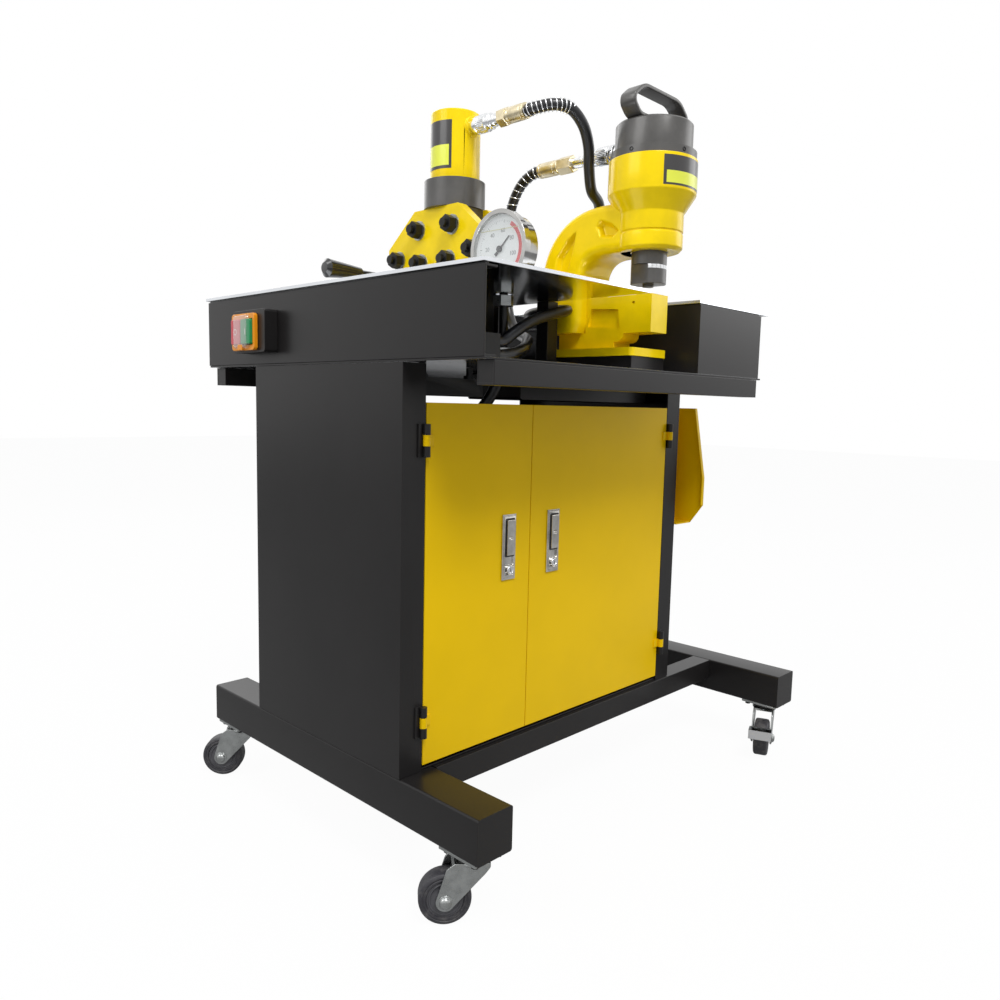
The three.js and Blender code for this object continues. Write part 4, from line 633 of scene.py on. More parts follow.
def softened(profile: Sequence[Sequence[float]], radius: float, steps: int = 3) -> list[list[float]]:
    """Rounds a profile's corners: each corner becomes points of the curve that is tangent to both sides.

    Args:
        profile: the corner points, first and last kept.
        radius: how far from the corner the rounding starts, in millimetres.
        steps: the number of stretches in each rounded corner.

    Returns:
        The rounded profile.
    """
    corners = np.asarray(profile, float)
    rounded = [corners[0].tolist()]
    share = np.linspace(0, 1, steps + 1)[:, None]
    for before, corner, after in zip(corners[:-2], corners[1:-1], corners[2:]):
        to_before, to_after = before - corner, after - corner
        lengths = np.linalg.norm(to_before), np.linalg.norm(to_after)
        reach = min(radius, *(length * CORNER_SHARE for length in lengths))
        start = corner + to_before / max(lengths[0], TINY) * reach
        end = corner + to_after / max(lengths[1], TINY) * reach
        curve = (1 - share) ** 2 * start + 2 * share * (1 - share) * corner + share ** 2 * end
        rounded.extend(curve.tolist())
    rounded.append(corners[-1].tolist())
    return rounded


def route(points: np.ndarray, stations: int) -> np.ndarray:
    """A centripetal Catmull-Rom curve through points, sampled at equal steps of its length.

    Args:
        points: the places that the curve passes.
        stations: how many samples come back.

    Returns:
        The samples, in order.
    """
    ends = np.vstack([2 * points[0] - points[1], points, 2 * points[-1] - points[-2]])
    knots = np.sqrt(np.linalg.norm(np.diff(ends, axis=0), axis=1))
    share = np.linspace(0, 1, SPAN_STEPS, endpoint=False)[:, None]
    spans = []
    for i in range(len(points) - 1):
        p0, p1, p2, p3 = ends[i:i + 4]
        d0, d1, d2 = knots[i:i + 3]
        slope1 = ((p1 - p0) / d0 - (p2 - p0) / (d0 + d1) + (p2 - p1) / d1) * d1
        slope2 = ((p2 - p1) / d1 - (p3 - p1) / (d1 + d2) + (p3 - p2) / d2) * d1
        cubic = (2 * p1 - 2 * p2 + slope1 + slope2) * share ** 3
        square = (-3 * p1 + 3 * p2 - 2 * slope1 - slope2) * share ** 2
        spans.append(cubic + square + slope1 * share + p1)
    return resampled(np.vstack([*spans, points[-1:]]), stations)


def resampled(points: np.ndarray, count: int) -> np.ndarray:
    """Points at equal steps of length along a line through points.

    Args:
        points: the line's corners, of two or three numbers each.
        count: how many points come back.

    Returns:
        The points, in order.
    """
    points = np.asarray(points, float)
    length = np.concatenate([[0], np.cumsum(np.linalg.norm(np.diff(points, axis=0), axis=1))])
    wanted = np.linspace(0, length[-1], count)
    return np.stack([np.interp(wanted, length, row) for row in points.T], axis=1)


def carried_frames(path: np.ndarray) -> tuple[np.ndarray, np.ndarray]:
    """Two directions across a path, without twist: a normal loses its part along the next tangent.

    Args:
        path: the stations.

    Returns:
        The normals and binormals, one row each a station.
    """
    tangents = np.gradient(path, axis=0)
    tangents /= np.linalg.norm(tangents, axis=1)[:, None]
    start = np.cross(tangents[0], (0.0, 0.0, 1.0))
    if np.linalg.norm(start) < 0.1:
        start = np.cross(tangents[0], (1.0, 0.0, 0.0))
    normals = [start / np.linalg.norm(start)]
    for tangent in tangents[1:]:
        flat = normals[-1] - tangent * np.dot(normals[-1], tangent)
        normals.append(flat / np.linalg.norm(flat))
    normals = np.array(normals)
    return normals, np.cross(tangents, normals)


def tube(path: np.ndarray, radius: float, sides: int) -> np.ndarray:
    """A round section carried along a path: station plus radius times the turned cross directions.

    Args:
        path: the stations, in metres.
        radius: the section's radius, in metres.
        sides: the points round the section.

    Returns:
        The grid of points.
    """
    normals, binormals = carried_frames(path)
    angle = np.linspace(0, 2 * np.pi, sides, endpoint=False)
    cosine, sine = np.cos(angle)[None, :, None], np.sin(angle)[None, :, None]
    around = normals[:, None] * cosine + binormals[:, None] * sine
    return path[:, None] + around * radius


def arc_section(corners: Sequence[Sequence[float]], centre: np.ndarray, axis: Axis, from_degrees: float,
                to_degrees: float, steps: int = 32) -> np.ndarray:
    """A section carried part of the way round an axis, such as a bent label or a printed arc.

    Args:
        corners: radius and height of each corner of the section, in millimetres.
        centre: the frame's point at height zero.
        axis: the direction of the heights.
        from_degrees: the angle where it starts.
        to_degrees: the angle where it ends.
        steps: the number of stations.

    Returns:
        The grid of points, one row each station.
    """
    radius, height = (np.asarray(corners, float) * MM).T
    angle = np.radians(np.linspace(from_degrees, to_degrees, steps))
    along = np.repeat(height[None], steps, axis=0)
    return centre + stood(axis, along, np.outer(np.cos(angle), radius), np.outer(np.sin(angle), radius))


def spun(grid: np.ndarray, centre: np.ndarray, degrees: float) -> np.ndarray:
    """A grid turned about the vertical line through a point.

    Args:
        grid: the points.
        centre: the point that stays.
        degrees: the turn, counter-clockwise from above.

    Returns:
        The turned grid.
    """
    turn = math.radians(degrees)
    rows = np.array([[math.cos(turn), -math.sin(turn), 0], [math.sin(turn), math.cos(turn), 0], [0, 0, 1]])
    return (grid - centre) @ rows.T + centre


def knurled(grid: np.ndarray, centre: np.ndarray, axis: Axis, first: int, last: int,
            depth: float) -> np.ndarray:
    """Pulls every second point of some rings towards the axis, which makes a row of fine ribs.

    Args:
        grid: the turned grid.
        centre: a point on its axis.
        axis: the axis.
        first: the first ring that has ribs.
        last: the ring after the last one.
        depth: the ribs' depth in millimetres.

    Returns:
        The ribbed grid.
    """
    ribbed = grid.copy()
    offset = ribbed[first:last, ::2] - centre
    offset[..., axis.value] = 0
    length = np.linalg.norm(offset, axis=-1, keepdims=True)
    ribbed[first:last, ::2] -= offset / length * depth * MM
    return ribbed


def strip(start: np.ndarray, end: np.ndarray, width: float, face: np.ndarray, thickness: float) -> np.ndarray:
    """A thin straight bar between two points, flat against a face.

    Args:
        start: one end, in metres.
        end: the other end.
        width: its width along the face, in millimetres.
        face: the direction that the face looks to.
        thickness: how far it stands off the face, in millimetres.

    Returns:
        The grid of points.
    """
    along = (end - start) / np.linalg.norm(end - start)
    across = np.cross(along, face) * width / 2 * MM
    rise = np.asarray(face, float) * thickness * MM
    return np.array([[point - across, point + across, point + across + rise, point - across + rise]
                     for point in (start, end)])


def prism(outline: Sequence[Sequence[float]], centre: np.ndarray, axis: Axis, low: float,
          high: float) -> np.ndarray:
    """An outline carried straight along an axis.

    Args:
        outline: the two other coordinates of each corner, in millimetres.
        centre: the frame's point that they are measured from.
        axis: the direction of the length.
        low: one end along the axis.
        high: the other end.

    Returns:
        The grid of points, two rows.
    """
    corners = np.asarray(outline, float) * MM
    rows = np.array([np.insert(corners, axis.value, level * MM, axis=1) for level in (low, high)])
    return centre + rows


def rounded_ring(half_u: float, half_v: float, corner: float, steps: int = 5) -> np.ndarray:
    """A rectangle with round corners: each corner's middle plus radius times cosine and sine.

    Args:
        half_u: half its width.
        half_v: half its height.
        corner: the radius of its corners.
        steps: the stretches in each corner.

    Returns:
        The points, one row each.
    """
    turn = np.linspace(0, np.pi / 2, steps + 1)
    quarters = [np.stack([su * (half_u - corner) + corner * np.cos(turn + start),
                          sv * (half_v - corner) + corner * np.sin(turn + start)], axis=1)
                for start, su, sv in ((0, 1, 1), (np.pi / 2, -1, 1), (np.pi, -1, -1), (1.5 * np.pi, 1, -1))]
    return np.vstack(quarters)


def depth_inside(points: np.ndarray, outline: np.ndarray) -> np.ndarray:
    """How far points lie inside an outline: the distance to its nearest side, and 0 outside.

    Args:
        points: two coordinates in the last axis.
        outline: the outline's corners.

    Returns:
        One distance for each point.
    """
    start, end = outline, np.roll(outline, -1, axis=0)
    side = end - start
    offset = points[..., None, :] - start
    share = np.clip((offset * side).sum(-1) / (side ** 2).sum(-1), 0, 1)
    distance = np.linalg.norm(offset - share[..., None] * side, axis=-1).min(-1)
    crossing = (start[:, 1] > points[..., None, 1]) != (end[:, 1] > points[..., None, 1])
    rise = np.where(side[:, 1] == 0, TINY, side[:, 1])
    meets = start[:, 0] + (points[..., None, 1] - start[:, 1]) / rise * side[:, 0]
    inside = (crossing & (points[..., None, 0] < meets)).sum(-1) % 2 == 1
    return np.where(inside, distance, 0.0)


def without(mesh: bpy.types.Mesh, low: Sequence[float], high: Sequence[float]) -> bpy.types.Mesh:
    """A mesh with a box cut out of it.

    Args:
        mesh: the mesh, which is used up.
        low: the box's lowest corner, in the machine's millimetres.
        high: its highest corner.

    Returns:
        The cut mesh.
    """
    tool = bpy.data.meshes.new("cutting_box")
    working = bmesh.new()
    low, high = at(*low), at(*high)
    reach = Matrix.Diagonal(Vector(high - low)).to_4x4()
    bmesh.ops.create_cube(working, size=1.0, matrix=Matrix.Translation(Vector((low + high) / 2)) @ reach)
    working.to_mesh(tool)
    working.free()
    carriers = [linked(item.name, item) for item in (mesh, tool)]
    carving = carriers[0].modifiers.new("cut", "BOOLEAN")
    carving.operation = "DIFFERENCE"
    carving.object = carriers[1]
    bpy.context.view_layer.update()
    finished = carriers[0].evaluated_get(bpy.context.evaluated_depsgraph_get())
    carved = bpy.data.meshes.new_from_object(finished)
    for carrier in carriers:
        bpy.data.objects.remove(carrier)
    return carved


def screw_profile(radius: float, height: float) -> list[Pair]:
    """The profile of a socket cap screw's head: a rounded rim and a recess in its top.

    Args:
        radius: the head's radius, in millimetres.
        height: the head's height.

    Returns:
        Radius and height of each point.
    """
    recess = height * 0.6
    return [(0, 0), (radius, 0), (radius, height - 0.4), (radius - 0.4, height), (radius * 0.55, height),
            (radius * 0.5, height - 0.2), (radius * 0.5, height - recess), (0, height - recess)]


def hexagon(centre: np.ndarray, axis: Axis, from_: float, to: float, across: float) -> np.ndarray:
    """A hexagon bar with chamfered ends, carried along an axis.

    Args:
        centre: the frame's point at height zero.
        axis: the bar's direction.
        from_: the height of one end, in millimetres.
        to: the height of the other end.
        across: the size across flats.

    Returns:
        The grid of points.
    """
    radius = across / math.sqrt(3)
    chamfer = across * 0.05
    step = chamfer if to > from_ else -chamfer
    profile = [(radius - chamfer, from_), (radius, from_ + step), (radius, to - step), (radius - chamfer, to)]
    return turned(profile, centre, axis, sides=6)


def text_mesh(words: str, size: float, place: np.ndarray, across: Vector, up: Vector) -> bpy.types.Mesh:
    """Plain characters as a thin flat mesh.

    Args:
        words: what is written.
        size: the height of the letters' line, in metres.
        place: the middle of the words.
        across: the reading direction.
        up: the direction of the letters' tops.

    Returns:
        The mesh, in the frame's metres.
    """
    curve = bpy.data.curves.new("words", "FONT")
    curve.body = words
    curve.size = size
    curve.align_x = "CENTER"
    curve.align_y = "CENTER"
    curve.extrude = size * RELIEF
    carrier = linked("words", curve)
    bpy.context.view_layer.update()
    mesh = bpy.data.meshes.new_from_object(carrier)
    bpy.data.objects.remove(carrier)
    axes = Matrix((across, up, across.cross(up))).transposed().to_4x4()
    mesh.transform(Matrix.Translation(Vector(place)) @ axes)
    return mesh


def merged_copy(node: str, cuts: Sequence[float] = ()) -> bpy.types.Mesh:
    """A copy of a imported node's mesh with its loose triangles merged into whole faces.

    Args:
        node: the node's name.
        cuts: the heights at which its faces are split, in the machine's millimetres.

    Returns:
        The new mesh.
    """
    mesh = frame["nodes"][node].data.copy()
    mesh.name = f"{node}_finished"
    mesh.materials.clear()
    working = bmesh.new()
    working.from_mesh(mesh)
    bmesh.ops.remove_doubles(working, verts=working.verts, dist=PACKED_WELD)
    bmesh.ops.dissolve_degenerate(working, dist=LEAST_EDGE, edges=working.edges)
    bmesh.ops.dissolve_limit(working, angle_limit=math.radians(FLAT_DEGREES), verts=working.verts,
                             edges=working.edges)
    for level in cuts:
        everything = [*working.verts, *working.edges, *working.faces]
        bmesh.ops.bisect_plane(working, geom=everything, plane_co=Vector(at(0, 0, level)),
                               plane_no=Vector((0, 0, 1)))
    working.to_mesh(mesh)
    working.free()
    return mesh


def soft_edges(piece: Piece, width: float, segments: int) -> None:
    """Rounds a piece's sharp edges.

    Args:
        piece: the piece.
        width: the rounding's width in millimetres.
        segments: its steps.
    """
    soften = piece.modifiers.new("soft_edges", "BEVEL")
    soften.width = width * MM
    soften.segments = segments
    soften.limit_method = "ANGLE"
    soften.angle_limit = math.radians(BEVEL_DEGREES)
    soften.harden_normals = True


@dataclass
class Skin:
    """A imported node's own shape with merged faces and softened edges, which then stands for that node."""

    node: str
    finishes: Sequence[Finish]
    edge: float = 0.7
    segments: int = 2
    zones: Callable[[np.ndarray], np.ndarray] | None = None
    cuts: tuple[float, ...] = ()

    def build(self) -> Piece:
        """Copies the node's mesh, merges it, gives each face its zone's finish and softens its edges.

        Returns:
            The piece that replaces the node.
        """
        mesh = merged_copy(self.node, self.cuts)
        body = frame["nodes"][self.node]["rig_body"]
        piece = dress(f"{self.node}_finished", mesh, self.finishes, body)
        if self.zones:
            centres = np.empty(len(mesh.polygons) * 3)
            mesh.polygons.foreach_get("center", centres)
            own = (centres.reshape(-1, 3) - ORIGIN) / MM
            mesh.polygons.foreach_set("material_index", self.zones(own).astype(np.int32))
        soft_edges(piece, self.edge, self.segments)
        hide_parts(self.node)
        return piece


@dataclass
class Studio:
    """The photograph's camera, the floor and the soft lights."""

    camera_place: Triple = (-717.48, -722.62, 706.92)
    focal_length: float = 29.74
    sensor: float = 36.0
    camera_right: Triple = (0.6977935, -0.71594193, 0.02261369)
    camera_down: Triple = (-0.06564486, -0.09535439, -0.99327654)
    camera_forward: Triple = (0.71328464, 0.69161745, -0.11353558)
    view_end: float = 60.0
    floor_half: float = 14.0
    # The floor's own tone and what the camera sees on top of it, then the share that glows to each.
    floor_tone: float = 0.37
    floor_seen: float = 0.45
    floor_glow: float = 0.962
    mirror_glow: float = 0.14
    surround: Four = (0.95, 0.97, 1.0, 1.0)
    surround_strength: float = 0.5
    lamp_target: Triple = (0.0, 0.0, 0.6)
    # Each lamp's name, its place and side in metres, and its power in watts.
    lamps: tuple[tuple[str, Triple, float, float], ...] = (
        ("key_lamp", (-1.3, -2.6, 4.1), 1.6, 126.0), ("left_lamp", (-3.2, 0.6, 3.0), 2.0, 46.0),
        ("right_lamp", (3.2, -1.8, 2.2), 2.0, 24.0), ("rear_lamp", (0.6, 3.4, 2.8), 2.4, 26.0))

    def build_camera(self) -> None:
        """Places the camera where the photograph was taken."""
        lens = bpy.data.cameras.new("photo_camera")
        lens.lens = self.focal_length
        lens.sensor_width = self.sensor
        lens.clip_end = self.view_end
        camera = linked("photo_camera", lens)
        rows = (self.camera_right, -Vector(self.camera_down), -Vector(self.camera_forward))
        turn = Matrix(rows).transposed()
        camera.matrix_world = Matrix.Translation(Vector(at(*self.camera_place))) @ turn.to_4x4()
        bpy.context.scene.camera = camera

    def build_floor(self) -> None:
        """A wide pale floor that reads almost white and keeps a soft shadow."""
        ends = [-self.floor_half, self.floor_half]
        grid = np.stack(np.meshgrid(ends, ends, indexing="ij") + [np.zeros((2, 2))], axis=-1)
        mesh = bpy.data.meshes.new("floor")
        mesh.from_pydata(grid.reshape(-1, 3).tolist(), [], [(0, 2, 3, 1)])
        material = bpy.data.materials.new("pale_floor")
        graph = Graph(material)
        rays = graph.node("ShaderNodeLightPath", {}, {})
        camera = Value(graph, rays.outputs["Is Camera Ray"])
        mirrored = Value(graph, rays.outputs["Is Glossy Ray"])
        pale = graph.node("ShaderNodeBsdfDiffuse", {}, {"Color": camera * self.floor_seen + self.floor_tone})
        white = graph.node("ShaderNodeEmission", {}, {"Color": WHITE, "Strength": 1.0})
        graph.show_mix(camera * self.floor_glow + mirrored * self.mirror_glow, pale, white)
        mesh.materials.append(material)
        floor = linked("floor", mesh)

    def build_world(self) -> None:
        """A pale surround: white where the camera, glass and metal see it, softer where it lights."""
        world = bpy.data.worlds.new("studio")
        bpy.context.scene.world = world
        graph = Graph(world, "ShaderNodeOutputWorld")
        rays = graph.node("ShaderNodeLightPath", {}, {})
        seen = Value(graph, rays.outputs["Is Camera Ray"])
        for kind in ("Glossy", "Transmission"):
            seen = seen.sum("MAXIMUM", seen, rays.outputs[f"Is {kind} Ray"])
        lit = graph.node("ShaderNodeBackground", {}, {
            "Color": self.surround, "Strength": self.surround_strength})
        graph.show_mix(seen, lit, graph.node("ShaderNodeBackground", {}, {"Color": WHITE}))

    def add_lamp(self, name: str, place: Sequence[float], size: float, power: float) -> None:
        """Adds one square soft lamp that points at the machine.

        Args:
            name: the lamp's name.
            place: where it hangs, in metres.
            size: its side, in metres.
            power: its power in watts.
        """
        lamp = bpy.data.lights.new(name, "AREA")
        lamp.shape = "SQUARE"
        lamp.size = size
        lamp.energy = power
        carrier = linked(name, lamp)
        carrier.location = place
        look = Vector(self.lamp_target) - Vector(place)
        carrier.rotation_euler = look.to_track_quat("-Z", "Y").to_euler()

    def build(self) -> None:
        """Builds the camera, floor, surround and lamps, and sets the plain view transform."""
        self.build_camera()
        self.build_floor()
        self.build_world()
        for lamp in self.lamps:
            self.add_lamp(*lamp)
        bpy.context.scene.view_settings.view_transform = "Standard"


@dataclass
class Cabinet:
    """The frame on its feet, the sheet-metal cabinet, the doors with their latches, and the aprons."""

    painted: tuple[str, ...] = ("front_beam", "rear_beam", "cabinet_floor", "back_panel", "front_rail",
                                "rear_rail", "left_side_panel", "right_side_panel", "left_apron",
                                "right_apron", "oil_tank", "pump_motor", "control_box", "switch_box")
    foot_bottom: float = 104.2
    bolt_bottom: float = 99.5
    bolt_band: float = 2.6
    race_top: float = 95.5
    deck_top: float = 766.3
    deck_middle: float = 1.5  # how far the middle of the deck's edges lies under its top
    deck_edge: float = 1.0
    deck_clear: float = 0.7
    post_left: float = 332.0
    post_right: float = 362.0
    latch_front: float = 157.7
    lock_front: float = 154.7
    lock_z: float = 450.1
    lock_radius: float = 7.5
    lock_face: float = -0.1
    key_slot_shade: Triple = (2.6, 1.1, 0.15)  # painted shade of the key slot: half its length, its width and its thickness
    latch_middles: Pair = (215.0, 321.0)
    gap_shadow_edges: Pair = (-0.6, 2.7)  # the painted gap shadow's two outlines: how far they lie outside the paddle's edge
    gap_shadow_corner: float = 3.0
    gap_shadow_levels: Pair = (-0.12, 0.4)  # the painted gap shadow's front and back, behind the plate's face
    end_plate: float = 1.5
    end_play: float = 0.3
    end_inset: float = 1.2
    end_corner: float = 2.0

    def foot_zones(self, centres: np.ndarray) -> np.ndarray:
        """Picks bright plating for the caster plates and races, and black for the foot and its bolt heads.

        Args:
            centres: the middles of the faces, in the machine's millimetres.

        Returns:
            The material slot of each face.
        """
        height = centres[:, 2]
        inside = np.abs(height - (self.foot_bottom + self.bolt_bottom) / 2) < self.bolt_band
        return ((height < self.foot_bottom) & (inside | (height < self.race_top))).astype(int)

    def deck_zones(self, centres: np.ndarray) -> np.ndarray:
        """Picks black for the front bay's post and the deck's edges, and bright plate for its faces.

        Args:
            centres: the middles of the faces, in the machine's millimetres.

        Returns:
            The material slot of each face.
        """
        height = centres[:, 2]
        across = (centres[:, 0] < self.post_right) & (centres[:, 0] > self.post_left)
        edges = np.abs(height - self.deck_top + self.deck_middle) < self.deck_edge
        return (edges | (height > self.deck_top + self.deck_clear) & across).astype(int)

    def build_rail_ends(self) -> list[Piece]:
        """Thin plates that close both ends of the two rails under the deck.

        Returns:
            One piece for each rail.
        """
        pieces = []
        for node in ("front_rail", "rear_rail"):
            low, high = (np.array(corner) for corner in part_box(node))
            half = [(high[i] - low[i]) / 2 - self.end_inset * MM for i in (1, 2)]
            ring = rounded_ring(*half, self.end_corner * MM) + (low[1:] + high[1:]) / 2
            shell = Shell()
            thick = self.end_plate * MM
            for start, end in ((low[0], low[0] + thick), (high[0] - thick, high[0])):
                levels = (start + self.end_play * MM, end)
                shell.add(np.array([np.insert(ring, 0, level, axis=1) for level in levels]))
            pieces.append(shell.build(f"{node}_end_plates", [BLACK_PAINT], "frame"))
        return pieces

    def build_painted(self) -> list[Piece]:
        """Dresses the black sheet-metal and tube pieces."""
        return [Skin(node, [BLACK_PAINT], edge=0.8).build() for node in self.painted]

    def build_feet(self) -> list[Piece]:
        """Dresses the feet in black, with bright caster plates below them."""
        return [Skin(node, [BLACK_PAINT, ZINC], edge=1.2, zones=self.foot_zones).build()
                for node in ("left_foot", "right_foot")]

    def build_plates(self) -> list[Piece]:
        """Dresses the bright deck with its black post, the bright table top and the hanging bar.

        Returns:
            The pieces.
        """
        return [Skin("deck_plate", [PLATE, BLACK_PAINT], edge=0.5, zones=self.deck_zones).build(),
                Skin("table_top", [PLATE], edge=0.6).build(),
                Skin("hanger_bar", [BLACK_OXIDE], edge=0.7).build()]

    def build_doors(self) -> list[Piece]:
        """Dresses the doors and the side pocket in yellow."""
        return [Skin(node, [YELLOW_PAINT], edge=1.0, segments=3).build()
                for node in ("left_door", "right_door", "side_pocket")]

    def build_lock(self, side: str, middle: float) -> Piece:
        """The round lock barrel on a latch: a ring, a sunk face and a black bar painted as the key slot's
        shade.

        Args:
            side: "left" or "right".
            middle: the latch's middle, in millimetres from the left.

        Returns:
            The piece.
        """
        centre = at(middle, self.lock_front, self.lock_z)
        r, face = self.lock_radius, self.lock_face
        profile = softened([(0, face), (r * 0.62, face), (r * 0.68, -0.8), (r * 0.9, -0.8), (r, 0.2),
                            (r, 2.0), (0, 2.0)], radius=0.3)
        barrel = Shell().add(turned(profile, centre, Axis.Y, sides=40), caps=False)
        # Painted shade: a thin black bar on the sunk face stands in for the dark of the key slot.
        half, width, rise = self.key_slot_shade
        ends = [at(middle, self.lock_front + face, self.lock_z + side * half) for side in (-1, 1)]
        barrel.add(strip(*ends, width, TO_FRONT, rise), slot=1)
        return barrel.build(f"{side}_lock_barrel", [CHROME, INK_AND_SHADE], f"{side}_door")

    def build_gap_shadow(self, side: str) -> Piece:
        """The painted shadow in the gap round a paddle: a thin black ring on the plate, just outside the
        paddle's edge.

        Args:
            side: "left" or "right".

        Returns:
            The piece.
        """
        low, high = (np.array(corner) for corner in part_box(f"{side}_latch_paddle"))
        middle = (low + high) / 2
        inner, outer = (
            rounded_ring((high[0] - low[0]) / 2 + grow * MM, (high[2] - low[2]) / 2 + grow * MM,
                         self.gap_shadow_corner * MM) for grow in self.gap_shadow_edges)
        front, back = (at(0, self.latch_front + level, 0)[1] for level in self.gap_shadow_levels)
        levels = ((outer, back), (outer, front), (inner, front), (inner, back))
        grid = np.array([np.insert(ring + middle[[0, 2]], 1, level, axis=1) for ring, level in levels])
        # Painted shadow: this black ring stands in for the shade in the gap round the paddle.
        return Shell().add(grid, ring=True).build(f"{side}_paddle_gap_shadow", [INK_AND_SHADE], f"{side}_door")

    def build_latches(self) -> list[Piece]:
        """Dresses the chrome latch plates and paddles and adds their painted gap shadows and lock barrels.

        Returns:
            The pieces.
        """
        pieces = []
        for side, middle in zip(("left", "right"), self.latch_middles):
            pieces += [Skin(f"{side}_latch_plate", [LATCH_CHROME], edge=0.6, segments=3).build(),
                       Skin(f"{side}_latch_paddle", [LATCH_CHROME], edge=0.9, segments=3).build(),
                       self.build_gap_shadow(side), self.build_lock(side, middle)]
        return pieces

    def build(self) -> list[Piece]:
        """Builds every piece of the cabinet.

        Returns:
            The pieces.
        """
        return [*self.build_feet(), *self.build_painted(), *self.build_plates(), *self.build_doors(),
                *self.build_latches(), *self.build_rail_ends()]


@dataclass
class Switch:
    """The start and stop switch on the left apron."""

    face_x: float = -36.3
    middle_y: float = 536.0
    middle_z: float = 816.5
    button_offset: float = 15.5
    mark_size: float = 5.0
    mark_rise: float = 0.12
    ring_width: float = 1.0
    bar_width: float = 1.2
    cover_corner: float = 5.0
    # How far each ring lies behind the buttons' face, and half its height and depth.
    cover_rows: tuple[Triple, ...] = (
        (7.0, 27.0, 22.5), (1.4, 26.5, 22.0), (-0.2, 25.6, 21.2), (-0.5, 24.4, 20.0))

    def build_marks(self) -> list[Piece]:
        """The ring on the stop button and the bar on the start button, printed flat on their faces.

        Returns:
            The two pieces.
        """
        size, rise = self.mark_size, -self.mark_rise
        hole = size - self.ring_width
        stop = at(self.face_x, self.middle_y + self.button_offset, self.middle_z)
        section = [(hole, 0), (size, 0), (size, rise), (hole, rise)]
        ring = Shell().add(arc_section(section, stop, Axis.X, 0, 360, steps=41)[:-1], ring=True)
        start = at(self.face_x, self.middle_y - self.button_offset, self.middle_z)
        half = np.array([0.0, 0.0, size * MM])
        bar = Shell().add(strip(start - half, start + half, self.bar_width, TO_LEFT, self.mark_rise))
        return [ring.build("stop_mark", [PRINT_WHITE], "stop_button"),
                bar.build("start_mark", [PRINT_WHITE], "start_button")]

    def build_cover(self) -> Piece:
        """The thin clear skin over both buttons: a rounded rectangle drawn in towards the box at its rim.

        Returns:
            The piece.
        """
        middle = at(0, self.middle_y, self.middle_z)
        grid = []
        for behind, half_z, half_y in self.cover_rows:
            ring = rounded_ring(half_y, half_z, self.cover_corner) * MM + middle[1:]
            grid.append(np.insert(ring, 0, at(self.face_x + behind, 0, 0)[0], axis=1))
        return Shell().add(np.array(grid)).build("switch_cover", [CLEAR_SKIN], "frame", sharp=50.0)

    def build(self) -> list[Piece]:
        """Dresses the bezel and the two buttons, prints their marks and covers them.

        Returns:
            The pieces.
        """
        return [Skin("switch_bezel", [ORANGE], edge=1.0, segments=3).build(),
                Skin("stop_button", [RED], edge=1.6, segments=3).build(),
                Skin("start_button", [GREEN], edge=1.6, segments=3).build(), *self.build_marks(),
                self.build_cover()]


